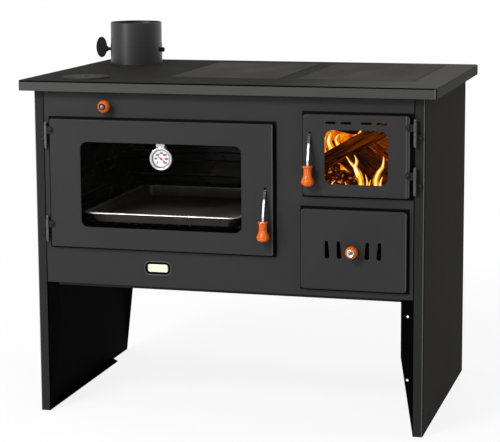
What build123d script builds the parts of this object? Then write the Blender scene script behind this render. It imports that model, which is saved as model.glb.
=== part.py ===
from build123d import *

import math
import os

# A free-standing wood cookstove: a folded-sheet body on two side panels, a steel cooktop with
# lift-out hotplates, an oven with a glass door, a firebox with a glass door, and an ash drawer.
# While it is drawn, x = 0 is the middle, y = 0 the face of the front panel (+y goes to the
# back) and z = 0 the floor. The finished pieces are then moved so that the origin is the
# centre of the whole stove's footprint. Millimetres throughout.

# ---- body ----
body_width = 900.0
body_depth = 600.0
side_sheet = 2.0
front_sheet = 3.0
fold_radius = 3.0
strip_width = 22.0
flange_width = 28.0
panel_seam = 0.4
apron_z = 308.0
floor_plate_z = 302.0
floor_sheet = 3.0
upstand = 24.0
leg_taper_z = 178.0
foot_lip_end = 490.0
leg_hole_inset = 35.0
leg_hole_z = 198.5
leg_hole_spacing = 143.0
leg_hole_radius = 3.0
back_screw_radius = 2.4
back_screw_head = 5.0
back_screws_per_side = 4

# ---- cooktop ----
cooktop_z = 776.0
top_sheet = 6.0
rim_height = 24.0
rim_wall = 4.0
side_overhang = 29.0
front_overhang = 25.0
rear_overhang = 8.0
top_corner = 8.0
top_edge_round = 3.0
plate_front = 119.0
plate_depth = 440.0
plate_corner = 6.0
middle_plate_x = -169.0
middle_plate_width = 262.0
plate_strip = 37.0
right_plate_width = 274.0
plate_fit = 0.8
ledge_width = 12.0
ledge_sheet = 4.0
plate_boss = 3.0
lid_x = 267.0
lid_y = 339.0
lid_radius = 78.0
lid_step = 8.0
cap_x = -348.0
cap_y = 68.0
cap_radius = 53.5
cap_sheet = 3.0
cap_edge = 0.8
cap_spigot_wall = 3.0
cap_spigot_gap = 1.0
cap_screw_outline = ((0.0, 0.0), (4.5, 0.0), (4.5, 0.8), (3.0, 2.0), (0.0, 2.4))
cleanout_radius = 42.0

# ---- flue collar and damper ----
collar_x = -368.0
collar_y = 482.0
collar_radius = 65.0
collar_wall = 3.0
collar_rise = 104.0
collar_chamfer = 1.5
collar_socket_rise = 50.0
collar_swage = 1.0
collar_flange = 12.0
collar_flange_sheet = 4.0
damper_rise = 35.0
damper_shaft_radius = 4.0
damper_radius = 59.0
damper_sheet = 2.5
leaf_height = 52.0
leaf_width = 28.0
leaf_sheet = 3.0
leaf_gap = 12.0
nut_width = 12.0
nut_length = 7.0

# ---- running fits ----
shaft_fit = 0.05
running_gap = 0.3

# ---- oven ----
oven_left = -382.0
oven_right = 70.0
oven_floor = 421.0
oven_ceiling = 661.0
oven_back = 492.0
oven_sheet = 3.0
oven_flange = 12.0
mouth_gap = 3.0
rib_height = 24.0
rib_depth = 5.0
rib_slope = 4.0
rib_start = 30.0
lower_rib_z = 470.0
upper_rib_z = 530.0
tray_width = 376.0
tray_depth = 438.0
tray_x = -161.0
tray_front = 22.0
tray_rim_z = 470.0
tray_height = 25.0
tray_draft = 14.0
tray_corner = 25.0
tray_corner_ease = 8.0
tray_sheet = 1.5
tray_rim = 7.0
tray_lip = 4.0
grid_wire = 4.0
grid_bar = 6.0
grid_wires = 15
grid_side_gap = 3.0
grid_end_gap = 18.0
grid_front_gap = 30.0
grid_back_gap = 10.0
grid_bar_inset = 40.0

# ---- doors, pressed from sheet ----
door_depth = 12.0
door_sheet = 2.0
door_corner = 4.0
door_edge_round = 2.6
pressed_corner = 8.0
pressed_edge_round = 3.5
seat_gap = 0.3
glass_thickness = 4.0
glass_lap = 8.0
rope_width = 8.0
rope_inset = 3.0
clip_width = 16.0
clip_reach = 6.0
clip_foot = 8.0
clip_sheet = 1.5
clip_screw = 3.0
oven_door_left = -410.0
oven_door_right = 115.0
oven_door_bottom = 394.0
oven_door_top = 688.0
oven_window_left = -336.0
oven_window_right = 42.5
oven_window_bottom = 442.0
oven_window_top = 637.3
oven_window_corner = 16.0
fire_door_left = 182.0
fire_door_right = 420.0
fire_door_bottom = 533.0
fire_door_top = 713.0
fire_window_left = 231.4
fire_window_right = 371.8
fire_window_bottom = 560.0
fire_window_top = 679.2
fire_window_corner = 18.0
air_slot_length = 24.0
air_slot_height = 5.5
air_slot_z = 695.0
air_slot_pitch = 34.0
air_slot_middle_gap = 45.0

# ---- hinges ----
hinge_y = -8.0
oven_hinge_gap = 10.0
fire_hinge_gap = 10.5
knuckle_radius = 4.5
knuckle_length = 24.0
pin_radius = 3.0
finial_radius = 4.2
finial_flat_share = 0.96
door_leaf_reach = 19.0
frame_leaf_reach = 16.0
hinge_leaf_height = 16.0
hinge_leaf_corner = 5.0
leaf_thick = 2.0
rivet_radius = 4.4
rivet_height = 2.4
rivet_inset = 5.5
oven_hinge_heights = (434.0, 650.0)
fire_hinge_heights = (571.0, 676.0)

# ---- latch handles ----
oven_handle_x = 97.0
oven_handle_z = 538.5
fire_handle_x = 198.0
fire_handle_z = 666.0
handle_slot_height = 12.0
handle_slot_drop = 3.5
lever_top_width = 5.5
lever_bottom_width = 11.0
lever_sheet = 3.0
lever_reach = 25.0
lever_drop = 64.0
lever_tang = 14.0
lever_bend_radius = 3.0
lever_straight_top = 9.0
lever_straight_foot = 10.0
lever_taper_start = 3.0
lever_tang_spare = 1.0
ear_margin = 2.0
hook_reach = 22.0
hook_rise = 7.0
hook_slot_above = 12.0
hook_slot_below = 17.0
hook_side_gap = 3.0
pivot_depth = 6.0
pivot_radius = 2.5
hub_radius = 4.5
ear_sheet = 2.0
ear_gap = 0.4
grip_length = 45.0
grip_neck = 11.0
grip_bead_height = 5.5
grip_waist = 9.1
grip_bulb = 14.25
grip_waist_share = 0.48
grip_bulb_share = 0.76
grip_edge = 1.2
grip_steps = 4

# ---- knobs ----
knob_radius = 14.0
knob_flat = 4.0
knob_cap_radius = 8.0
knob_cap_height = 4.0
stem_radius = 3.0

# ---- oven thermometer ----
dial_x = -147.0
dial_z = 602.6
dial_radius = 26.0
dial_front = -3.4
dial_case_depth = 11.0
dial_case_wall = 2.0
bracket_width = 19.5
bracket_sheet = 1.5
bracket_foot = 22.0
pointer_length = 18.0
pointer_tail = 9.0
pointer_width = 2.4
pointer_angle = -38.0
bracket_bend_radius = 0.9
bracket_glass_gap = 0.4
bracket_step_top = 5.0
bracket_step_foot = 1.5
bracket_below_dial = 12.0

# ---- firebox and ash drawer ----
divider_x = 126.0
divider_top = 700.0
inner_sheet = 3.0
brick_thick = 25.0
brick_top = 738.0
brick_back_y = 480.0
fire_floor_z = 510.0
fire_floor_back = 530.0
grate_side_gap = 16.0
grate_front = 60.0
grate_back = 430.0
grate_thick = 12.0
grate_bearing = 15.0
grate_slots = 9
grate_slot_width = 11.0
fire_frame_thick = 14.0
fire_mouth_left = 217.0
fire_mouth_right = 400.0
fire_mouth_bottom = 546.0
fire_mouth_top = 698.0
fire_mouth_corner = 10.0
drawer_left = 177.0
drawer_right = 414.0
drawer_bottom = 325.0
drawer_top = 503.5
drawer_mouth_inset = 9.0
pan_left = 196.0
pan_right = 396.0
pan_bottom = 336.0
pan_height = 48.0
pan_back = 410.0
pan_sheet = 2.0
pan_corner = 8.0
rail_back = 460.0
rail_shelf = 18.0
rail_rise = 14.0
rail_sheet = 2.0
ash_knob_x = 295.0
ash_knob_z = 413.0
ash_knob_gap = 4.0
teardrop_bottom = 395.0
teardrop_top = 434.0
teardrop_wide = 11.5
teardrop_narrow = 7.4
teardrop_inner = 30.5
teardrop_outer = 57.5
shutter_sheet = 1.2
shutter_travel = 13.0
shutter_margin = 6.0
shutter_side = 74.0
guide_height = 2.5
full_round_share = 0.98
shutter_clearance = 0.2
shutter_corner = 2.0
shutter_hole_side = 0.5
shutter_hole_end = 2.0
shutter_hole_corner = 3.0
shutter_washer_radius = 7.0

# ---- bypass damper ----
bypass_x = -275.0
bypass_z = 719.5
bypass_rod_radius = 4.0
bypass_knob_gap = 8.0
bypass_plate_width = 150.0
bypass_plate_height = 70.0
bypass_lap = 10.0
bypass_plate_corner = 10.0
baffle_y = 397.0
guide_y = 210.0
guide_width = 26.0

# ---- bare badge plate ----
badge_x = -158.3
badge_z = 351.5
badge_recess_width = 60.0
badge_recess_height = 28.5
badge_recess_depth = 1.2
badge_width = 48.0
badge_height = 17.3
badge_thick = 1.6

# ---- worked-out places ----
half_body = body_width / 2
sheet_z = cooktop_z - top_sheet
seam_x = half_body - strip_width
panel_back = front_sheet
flange_back = front_sheet + side_sheet
inside_x = half_body - side_sheet
back_panel_y = body_depth - 2 * side_sheet
top_half_width = half_body + side_overhang
leg_hole_x = half_body - leg_hole_inset
collar_top_z = cooktop_z + collar_rise
collar_socket_z = cooktop_z + collar_socket_rise
damper_z = cooktop_z + damper_rise
top_middle_y = (body_depth + rear_overhang - front_overhang) / 2
top_depth = body_depth + rear_overhang + front_overhang
middle_plate_right = middle_plate_x + middle_plate_width
right_plate_x = middle_plate_right + plate_strip
floor_top = floor_plate_z + floor_sheet
door_face = -door_depth
door_inside = door_face + door_sheet
fire_floor_top = fire_floor_z + inner_sheet
brick_left_x = divider_x + inner_sheet + brick_thick
brick_right_x = inside_x - brick_thick
grate_left = brick_left_x + grate_side_gap
grate_right = brick_right_x - grate_side_gap
oven_hinge_x = oven_door_left - oven_hinge_gap
fire_hinge_x = fire_door_right + fire_hinge_gap
pivot_y = -pivot_depth
grip_y = pivot_y - lever_reach
grip_front = grip_y - grip_bulb
ash_knob_back = door_face - ash_knob_gap
knob_length = 2 * knob_radius - knob_flat
front_reach = min(grip_front, ash_knob_back - knob_length - knob_cap_height / 2)
middle_y = (front_reach + body_depth + rear_overhang) / 2


# ---- small drawing helpers ----
def block(x, y, z):
    """A straight block between two values on each axis."""
    centre = Pos((x[0] + x[1]) / 2, (y[0] + y[1]) / 2, (z[0] + z[1]) / 2)
    return centre * Box(x[1] - x[0], y[1] - y[0], z[1] - z[0])


def rod(start, end, radius):
    """A round bar between two points."""
    line = Vector(*end) - Vector(*start)
    return extrude(Plane(start, z_dir=line) * Circle(radius), line.length)


def front_plate(x, z, y, corner):
    """A plate that faces the front, with rounded corners."""
    outline = RectangleRounded(x[1] - x[0], z[1] - z[0], corner)
    plane = Plane((((x[0] + x[1]) / 2), y[1], (z[0] + z[1]) / 2), x_dir=(1, 0, 0), z_dir=(0, -1, 0))
    return extrude(plane * outline, y[1] - y[0])


def flat_plate(x, y, z, corner):
    """A level plate with rounded corners."""
    outline = RectangleRounded(x[1] - x[0], y[1] - y[0], corner)
    return extrude(Pos((x[0] + x[1]) / 2, (y[0] + y[1]) / 2, z[0]) * outline, z[1] - z[0])


def side_profile(x, points, radius, thickness, width):
    """A strip bent along (y, z) points, of one thickness, centred on x."""
    path = FilletPolyline(*points, radius=radius)
    return extrude(Plane.YZ.offset(x - width / 2) * trace(path, thickness), width)


def turned(centre, direction, outline_points):
    """A turned piece: (radius, height) points joined by straight lines, about an axis."""
    face = make_face(Polyline(*outline_points, close=True))
    return Plane(centre, z_dir=direction) * revolve(Plane.XZ * face, Axis.Z)


def ball_points(radius, low, high, steps):
    """(radius, height) points of a ball's outline, from a flat below its centre to a flat above it."""
    start = math.asin(low / radius)
    end = math.asin(high / radius)
    angles = [start + (end - start) * i / steps for i in range(steps + 1)]
    return [(0, low)] + [(radius * math.cos(a), radius * math.sin(a)) for a in angles] + [(0, high)]


# ---- body ----
def side_panel(side):
    """One folded sheet from the cooktop to the floor: wall, front strip, stepped-back flange
    for the front panel, rear flange and foot lip. side is -1 on the left and 1 on the right."""
    flange_x = seam_x - flange_width
    rear_x = seam_x
    points = [
        (rear_x, body_depth), (half_body, body_depth), (half_body, 0), (seam_x, 0),
        (seam_x, panel_back), (flange_x, panel_back), (flange_x, flange_back),
        (seam_x + side_sheet, flange_back), (seam_x + side_sheet, side_sheet),
        (inside_x, side_sheet), (inside_x, body_depth - side_sheet),
        (rear_x, body_depth - side_sheet),
    ]
    section = make_face(Polyline(*points, close=True))
    corners = [v for v in section.vertices() if abs(v.X - half_body) < 0.01]
    panel = extrude(fillet(corners, fold_radius), sheet_z)
    front_taper = make_face(Polyline((seam_x, 0), (flange_x, leg_taper_z), (flange_x, 0), close=True))
    rear_taper = make_face(Polyline((inside_x, 0), (rear_x, leg_taper_z), (rear_x, 0), close=True))
    panel -= extrude(Plane.XZ.offset(-flange_back - 1) * front_taper, side_sheet + 1.5)
    panel -= extrude(Plane.XZ.offset(-body_depth - 1) * rear_taper, side_sheet + 2)
    lip_points = [
        (inside_x, side_sheet), (seam_x, side_sheet), (seam_x, foot_lip_end - strip_width),
        (inside_x, foot_lip_end),
    ]
    panel += extrude(make_face(Polyline(*lip_points, close=True)), side_sheet)
    for step in (-0.5, 0.5):
        hole_z = leg_hole_z + step * leg_hole_spacing
        panel -= rod((leg_hole_x, 0, hole_z), (leg_hole_x, 2 * flange_back, hole_z), leg_hole_radius)
    for hole_z in back_screw_heights():
        hole_x = seam_x + strip_width / 2
        panel -= rod((hole_x, body_depth - 3 * side_sheet, hole_z), (hole_x, body_depth + 1, hole_z),
                     back_screw_radius)
    return panel if side > 0 else mirror(panel, Plane.YZ)


def back_screw_heights():
    """Evenly spaced heights of the back panel's screws."""
    low = floor_top + 2 * back_screw_head
    high = sheet_z - rim_height - 2 * back_screw_head
    gap = (high - low) / (back_screws_per_side - 1)
    return [low + gap * i for i in range(back_screws_per_side)]


def back_screws():
    """Pan-head screws through the side panels' rear flanges into the back panel."""
    screws = []
    for x in (-seam_x - strip_width / 2, seam_x + strip_width / 2):
        for z in back_screw_heights():
            shank = rod((x, back_panel_y, z), (x, body_depth, z), back_screw_radius)
            head = turned((x, body_depth, z), (0, 1, 0), [
                (0, 0), (back_screw_head, 0), (back_screw_head, 1), (back_screw_head - 2, 3), (0, 3),
            ])
            screws.append(shank + head)
    return screws


def teardrop(centre_x, outward):
    """One air slot of the ash drawer: its outer edge is upright, its inner edge leans in."""
    wide = outward * teardrop_wide
    narrow = outward * teardrop_narrow
    outer = centre_x + wide / 2
    corners = [
        (outer, teardrop_bottom), (outer, teardrop_top), (outer - narrow, teardrop_top),
        (outer - wide, teardrop_bottom),
    ]
    face = make_face(Polyline(*corners, close=True))
    top = [v for v in face.vertices() if v.Y > ash_knob_z]
    face = fillet(top, teardrop_narrow * 0.45)
    bottom = [v for v in face.vertices() if v.Y < teardrop_bottom + 0.01]
    return fillet(bottom, teardrop_wide * 0.42)


def teardrop_places():
    """Centre and outward side of the four air slots, two on each side of the knob."""
    reaches = (teardrop_inner, teardrop_outer)
    return [(ash_knob_x + side * reach, side) for side in (-1, 1) for reach in reaches]


def hook_slot(x, z, y):
    """The slot that a latch hook enters, cut through whatever lies between two y values."""
    half = lever_top_width / 2 + hook_side_gap
    return block((x - half, x + half), y, (z - hook_slot_below, z + hook_slot_above))


def oven_mouth(grow, y):
    """The oven opening as a block, larger than the oven's inside by grow."""
    return front_plate((oven_left - grow, oven_right + grow), (oven_floor - grow, oven_ceiling + grow), y, 4)


def fire_mouth(y):
    """The firebox opening as a block."""
    return front_plate((fire_mouth_left, fire_mouth_right), (fire_mouth_bottom, fire_mouth_top), y,
                       fire_mouth_corner)


def front_panel():
    """The flat front sheet with the oven, firebox and ash openings, latch slots and badge recess."""
    edge = seam_x - panel_seam
    through = (-1, front_sheet + 1)
    panel = block((-edge, edge), (0, front_sheet), (apron_z, sheet_z))
    panel -= oven_mouth(oven_sheet + mouth_gap, through)
    panel -= fire_mouth(through)
    inset = drawer_mouth_inset
    panel -= front_plate((drawer_left + inset, drawer_right - inset),
                         (drawer_bottom + inset, drawer_top - inset), through, 4)
    panel -= hook_slot(oven_handle_x, oven_handle_z, through)
    panel -= hook_slot(fire_handle_x, fire_handle_z, through)
    panel -= rod((bypass_x, -1, bypass_z), (bypass_x, 2 * front_sheet, bypass_z),
                 bypass_rod_radius + shaft_fit)
    half = badge_recess_width / 2
    rise = badge_recess_height / 2
    panel -= front_plate((badge_x - half, badge_x + half), (badge_z - rise, badge_z + rise),
                         (-1, badge_recess_depth), 5)
    return panel


def badge_plate():
    """A bare oval-ended plate that sits in the front panel's recess."""
    x = (badge_x - badge_width / 2, badge_x + badge_width / 2)
    z = (badge_z - badge_height / 2, badge_z + badge_height / 2)
    plate = front_plate(x, z, (badge_recess_depth - badge_thick, badge_recess_depth), badge_height / 2.2)
    return chamfer(plate.faces().sort_by(Axis.Y)[0].edges(), 0.5)


def bottom_plate():
    """The sheet that closes the body above the open legs, turned up behind the front panel."""
    deck = block((-inside_x, inside_x), (flange_back, back_panel_y), (floor_plate_z, floor_top))
    lip_x = seam_x - flange_width
    lip = block((-lip_x, lip_x), (panel_back, flange_back), (floor_plate_z, floor_plate_z + upstand))
    return deck + lip


def back_panel():
    """The flat rear sheet, screwed to the side panels' rear flanges from behind."""
    panel = block((-inside_x, inside_x), (back_panel_y, back_panel_y + side_sheet), (floor_plate_z, sheet_z))
    for x in (-seam_x - strip_width / 2, seam_x + strip_width / 2):
        for z in back_screw_heights():
            panel -= rod((x, back_panel_y - 1, z), (x, body_depth, z), back_screw_radius)
    return panel


# ---- cooktop ----
def plate_outline(x, width, grow):
    """A hotplate's rounded outline in plan, larger by grow on every side."""
    centre = Pos(x + width / 2, plate_front + plate_depth / 2)
    return centre * RectangleRounded(width + 2 * grow, plate_depth + 2 * grow, plate_corner + max(grow, 0))


def plate_opening(x, width):
    """What the cooktop loses for one hotplate: the plate's own pocket and the way through."""
    pocket = extrude(Pos(0, 0, sheet_z) * plate_outline(x, width, plate_fit), 2 * top_sheet)
    way = plate_outline(x, width, -ledge_width)
    return pocket + extrude(Pos(0, 0, sheet_z - rim_height) * way, 2 * rim_height)


def cooktop():
    """The rimmed top sheet, with ledges welded under it that carry the hotplates."""
    outline = RectangleRounded(2 * top_half_width, top_depth, top_corner)
    hollow = RectangleRounded(2 * (top_half_width - rim_wall), top_depth - 2 * rim_wall,
                              top_corner - rim_wall)
    low = cooktop_z - rim_height
    top = extrude(Pos(0, top_middle_y, low) * outline, rim_height)
    top = fillet(top.faces().sort_by(Axis.Z)[-1].edges(), top_edge_round)
    top -= extrude(Pos(0, top_middle_y, low) * hollow, rim_height - top_sheet)
    plates = ((middle_plate_x, middle_plate_width), (right_plate_x, right_plate_width))
    for x, width in plates:
        ledge = plate_outline(x, width, ledge_width)
        top += extrude(Pos(0, 0, sheet_z - ledge_sheet) * ledge, ledge_sheet)
    for x, width in plates:
        top -= plate_opening(x, width)
    top -= Pos(cap_x, cap_y, sheet_z) * Cylinder(cleanout_radius, 4 * top_sheet)
    top -= Pos(collar_x, collar_y, sheet_z) * Cylinder(collar_radius, 4 * top_sheet)
    return top


def hotplate(x, width):
    """A cast plate flush with the cooktop, with a raised underside that locates it in its ledge."""
    plate = extrude(Pos(0, 0, sheet_z) * plate_outline(x, width, 0), top_sheet)
    under = plate_outline(x, width, -ledge_width - plate_fit)
    return plate + extrude(Pos(0, 0, sheet_z - plate_boss) * under, plate_boss)


def right_hotplate():
    """The plate over the fire, with a stepped round hole for its lid."""
    plate = hotplate(right_plate_x, right_plate_width)
    middle = Pos(lid_x, lid_y, cooktop_z)
    plate -= middle * Cylinder(lid_radius + plate_fit, top_sheet)
    return plate - middle * Cylinder(lid_radius - lid_step, 4 * top_sheet)


def round_lid():
    """The round lift-out lid, stepped to sit in the hotplate's hole."""
    rim = top_sheet / 2
    reach = top_sheet + plate_boss
    points = [
        (0, -reach), (lid_radius - lid_step - plate_fit, -reach), (lid_radius - lid_step - plate_fit, -rim),
        (lid_radius, -rim), (lid_radius, -0.5), (lid_radius - 0.5, 0), (0, 0),
    ]
    return turned((lid_x, lid_y, cooktop_z), (0, 0, 1), points)


def cleanout_cap():
    """The round cover over the soot clean-out hole: a thin disc with a ring below that keeps it in
    the hole, and a screw head in its middle to lift it by."""
    spigot = cleanout_radius - cap_spigot_gap
    inner = spigot - cap_spigot_wall
    points = [
        (0, cap_sheet), (cap_radius - cap_edge, cap_sheet), (cap_radius, cap_sheet - cap_edge),
        (cap_radius, 0), (spigot, 0), (spigot, -top_sheet), (inner, -top_sheet), (inner, 0), (0, 0),
    ]
    disc = turned((cap_x, cap_y, cooktop_z), (0, 0, 1), points)
    screw = turned((cap_x, cap_y, cooktop_z + cap_sheet), (0, 0, 1), cap_screw_outline)
    return disc + screw


# ---- flue collar and damper ----
def flue_collar():
    """The smoke outlet: a tube through the cooktop with a flange welded on below the sheet. Above the
    damper shaft the tube is drawn in slightly, so that a flue pipe stops there."""
    bore = collar_radius - collar_wall
    flange_radius = collar_radius + collar_flange
    flange_low = sheet_z - collar_flange_sheet
    socket = collar_radius - collar_swage
    points = [
        (bore, flange_low), (flange_radius, flange_low), (flange_radius, sheet_z), (collar_radius, sheet_z),
        (collar_radius, collar_socket_z), (socket, collar_socket_z), (socket, collar_top_z - collar_chamfer),
        (socket - collar_chamfer, collar_top_z), (bore, collar_top_z),
    ]
    collar = turned((collar_x, collar_y, 0), (0, 0, 1), points)
    reach = collar_radius + collar_wall
    return collar - rod((collar_x - reach, collar_y, damper_z), (collar_x + reach, collar_y, damper_z),
                        damper_shaft_radius + shaft_fit)


def damper_shaft():
    """The round shaft across the collar, with a nut on its right end."""
    left = collar_x - collar_radius - leaf_gap
    right = collar_x + collar_radius + nut_length + 2
    shaft = rod((left, collar_y, damper_z), (right, collar_y, damper_z), damper_shaft_radius)
    shaft -= damper_slot()
    nut_plane = Plane((collar_x + collar_radius + 1, collar_y, damper_z), z_dir=(1, 0, 0))
    nut = extrude(nut_plane * RegularPolygon(nut_width / 2, 6), nut_length)
    return shaft + nut


def damper_slot():
    """The saw cut along the shaft that holds the damper plate."""
    reach = damper_radius + 1
    half = damper_sheet / 2
    return block((collar_x - reach, collar_x + reach), (collar_y - half, collar_y + half),
                 (damper_z - 2 * damper_shaft_radius, damper_z + 2 * damper_shaft_radius))


def damper_plate():
    """The round plate that closes the flue, upright at rest so that the smoke passes."""
    half = damper_sheet / 2
    disc = rod((collar_x, collar_y - half, damper_z), (collar_x, collar_y + half, damper_z), damper_radius)
    return disc


def damper_handle():
    """The leaf-shaped sheet handle on the shaft's left end."""
    left = collar_x - collar_radius - leaf_gap
    boss = rod((left - leaf_sheet, collar_y, damper_z), (left, collar_y, damper_z), damper_shaft_radius + 3)
    arm = block((left - leaf_width + 6, left), (collar_y - leaf_sheet / 2, collar_y + leaf_sheet / 2),
                (damper_z - 4, damper_z + 4))
    centre_x = left - leaf_width / 2 - 2
    centre_z = damper_z + leaf_height * 0.08
    face = Ellipse(leaf_width / 2, leaf_height / 2)
    half = leaf_sheet / 2
    plane = Plane((centre_x, collar_y + half, centre_z), x_dir=(1, 0, 0), z_dir=(0, -1, 0))
    leaf = extrude(plane * face, leaf_sheet)
    bore = rod((left, collar_y, damper_z), (left + 1, collar_y, damper_z), damper_shaft_radius)
    return boss + arm + leaf - bore


# ---- oven ----
def rib_band(z_low, inset, shrink):
    """A U-shaped band round the oven's three walls, from their inner face inwards."""
    grow = oven_sheet if shrink > 0 else 0
    z = (z_low + shrink, z_low + rib_height - shrink)
    x = (oven_left - grow, oven_right + grow)
    outer = block(x, (rib_start + shrink, oven_back + grow), z)
    inner = block((x[0] + inset, x[1] - inset), (0, oven_back + grow - inset), z)
    band = outer - inner
    return band


def oven_box():
    """The oven muffle: five sheet walls, two pressed runner ribs and a flange at its mouth."""
    wall = oven_sheet
    shell = block((oven_left - wall, oven_right + wall), (panel_back, oven_back + wall),
                  (oven_floor - wall, oven_ceiling + wall))
    flange_reach = wall + oven_flange
    flange = block((oven_left - flange_reach, oven_right + flange_reach), (panel_back, flange_back),
                   (oven_floor - flange_reach, oven_ceiling + flange_reach))
    shell += flange
    shell -= block((oven_left, oven_right), (panel_back - 1, oven_back), (oven_floor, oven_ceiling))
    for z_low in (lower_rib_z, upper_rib_z):
        rib = rib_band(z_low, rib_depth, 0)
        lips = [e for e in rib.edges() if rib_lip(e, z_low)]
        shell += chamfer(lips, rib_slope, rib_slope)
        shell -= rib_band(z_low, rib_depth, oven_sheet + 1)
    return shell - hook_slot(oven_handle_x, oven_handle_z, (0, 2 * flange_back))


def rib_lip(edge, z_low):
    """Whether an edge is one of a rib's long inner lips."""
    centre = edge.center()
    on_level = abs(centre.Z - z_low) < 0.01 or abs(centre.Z - z_low - rib_height) < 0.01
    inside_x = oven_left + rib_depth - 0.01 < centre.X < oven_right - rib_depth + 0.01
    return on_level and inside_x and rib_start + 1 < centre.Y < oven_back - rib_depth + 0.01


def baking_tray():
    """A pressed tray with drafted sides and a rim turned down at its edge."""
    y_middle = tray_front + tray_depth / 2
    floor_z = tray_rim_z - tray_height

    def tray_outline(inset, corner):
        return RectangleRounded(tray_width - 2 * inset, tray_depth - 2 * inset, corner)

    def tray_body(skin):
        floor_outline = tray_outline(tray_rim + tray_draft + skin, tray_corner - tray_corner_ease)
        low = Pos(tray_x, y_middle, floor_z + skin) * floor_outline
        high = Pos(tray_x, y_middle, tray_rim_z + skin * 0.01) * tray_outline(tray_rim + skin, tray_corner)
        return loft([low, high])

    def rim_ring(inset, height):
        return extrude(Pos(tray_x, y_middle, tray_rim_z - height) * tray_outline(inset, tray_corner), height)

    rim = rim_ring(0, tray_lip) - rim_ring(tray_sheet, tray_lip) + rim_ring(tray_sheet, tray_sheet)
    return tray_body(0) + rim - tray_body(tray_sheet)


def oven_grid():
    """The grid under the tray: two bars whose bent ends stand on the oven floor, and the level
    wires welded across them, each a solid of its own."""
    top_z = tray_rim_z - tray_height - running_gap
    wire_z = (top_z - grid_wire, top_z)
    bar_z = (wire_z[0] - grid_bar, wire_z[0])
    x = (oven_left + grid_side_gap, oven_right - grid_side_gap)
    y = (tray_front + grid_front_gap, tray_front + tray_depth - grid_back_gap)
    pieces = []
    for bar_y in (y[0] + grid_bar_inset, y[1] - grid_bar_inset):
        bar = block(x, (bar_y, bar_y + grid_bar), (oven_floor, bar_z[1]))
        bar -= block((x[0] + grid_bar, x[1] - grid_bar), (bar_y - 1, bar_y + grid_bar + 1), (0, bar_z[0]))
        edges = bar.edges().filter_by(Axis.Y)
        outer = [e for e in edges if e.center().Z > bar_z[1] - 0.01]
        pieces.append(fillet(outer, grid_bar))
    first = x[0] + grid_end_gap
    gap = (x[1] - x[0] - 2 * grid_end_gap) / (grid_wires - 1)
    for i in range(grid_wires):
        wire_x = first + gap * i
        pieces.append(block((wire_x - grid_wire / 2, wire_x + grid_wire / 2), y, wire_z))
    return pieces


# ---- doors ----
def pressed_cover(x, z, corner, edge_round):
    """A pan pressed from sheet: a flat face with rounded edges and sides turned back."""
    cover = front_plate(x, z, (door_face, -seat_gap), corner)
    cover = fillet(cover.faces().sort_by(Axis.Y)[0].edges(), edge_round)
    inner_corner = corner - door_sheet
    cover -= front_plate((x[0] + door_sheet, x[1] - door_sheet), (z[0] + door_sheet, z[1] - door_sheet),
                         (door_inside, 1), inner_corner)
    return cover


def window_opening(x, z, corner):
    """A window through a door's face, its front edge slightly rounded inwards."""
    hole = front_plate(x, z, (door_face - 1, door_inside + 1), corner)
    flare = 1.0
    step = front_plate((x[0] - flare, x[1] + flare), (z[0] - flare, z[1] + flare),
                       (door_face - 1, door_face + 0.6), corner + flare)
    return hole + step


def handle_slot(x, z):
    """The upright slot in a door's face that its lever passes through."""
    half = lever_top_width / 2 + 0.8
    low = z - handle_slot_drop
    return block((x - half, x + half), (door_face - 1, door_inside + 1), (low, low + handle_slot_height))


def door_glass(x, z):
    """A heat-proof pane that laps the window edge on the inside."""
    return block((x[0] - glass_lap, x[1] + glass_lap), (door_inside, door_inside + glass_thickness),
                 (z[0] - glass_lap, z[1] + glass_lap))


def glass_clip(x, z, along_x, outward):
    """One stepped clip with its screw: the foot stands on the door, the lip holds the glass."""
    half = clip_width / 2
    step = door_inside + glass_thickness
    foot = clip_foot
    if along_x:
        foot_block = block(sorted((x, x + outward * foot)), (door_inside, step), (z - half, z + half))
        lip = block(sorted((x - outward * clip_reach, x + outward * foot)), (step, step + clip_sheet),
                    (z - half, z + half))
        screw_at = (x + outward * foot / 2, step + clip_sheet, z)
    else:
        foot_block = block((x - half, x + half), (door_inside, step), sorted((z, z + outward * foot)))
        lip = block((x - half, x + half), (step, step + clip_sheet),
                    sorted((z - outward * clip_reach, z + outward * foot)))
        screw_at = (x, step + clip_sheet, z + outward * foot / 2)
    screw = turned(screw_at, (0, 1, 0), [(0, 0), (clip_screw, 0), (clip_screw * 0.8, 1.2), (0, 1.8)])
    return foot_block + lip + screw


def glass_clips(x, z, level_spots, upright_spots):
    """Clips above and below the glass at the given x places, and beside it at the given heights."""
    clips = []
    for spot in level_spots:
        clips.append(glass_clip(spot, z[0] - glass_lap, False, -1))
        clips.append(glass_clip(spot, z[1] + glass_lap, False, 1))
    for spot in upright_spots:
        clips.append(glass_clip(x[0] - glass_lap, spot, True, -1))
        clips.append(glass_clip(x[1] + glass_lap, spot, True, 1))
    return clips


def rope_seal(x, z):
    """The rope seal round an opening, pressed flat where it meets the front panel."""
    far = rope_inset + rope_width
    y = (door_inside, -seat_gap)
    ring = front_plate((x[0] - far, x[1] + far), (z[0] - far, z[1] + far), y, rope_width)
    ring -= front_plate((x[0] - rope_inset, x[1] + rope_inset), (z[0] - rope_inset, z[1] + rope_inset),
                        (y[0] - 1, y[1] + 1), 1)
    return ring


def oven_door():
    """The oven door's pressed cover, with its window and handle slot."""
    cover = pressed_cover((oven_door_left, oven_door_right), (oven_door_bottom, oven_door_top),
                          door_corner, door_edge_round)
    cover -= window_opening((oven_window_left, oven_window_right), (oven_window_bottom, oven_window_top),
                            oven_window_corner)
    return cover - handle_slot(oven_handle_x, oven_handle_z)


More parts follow.
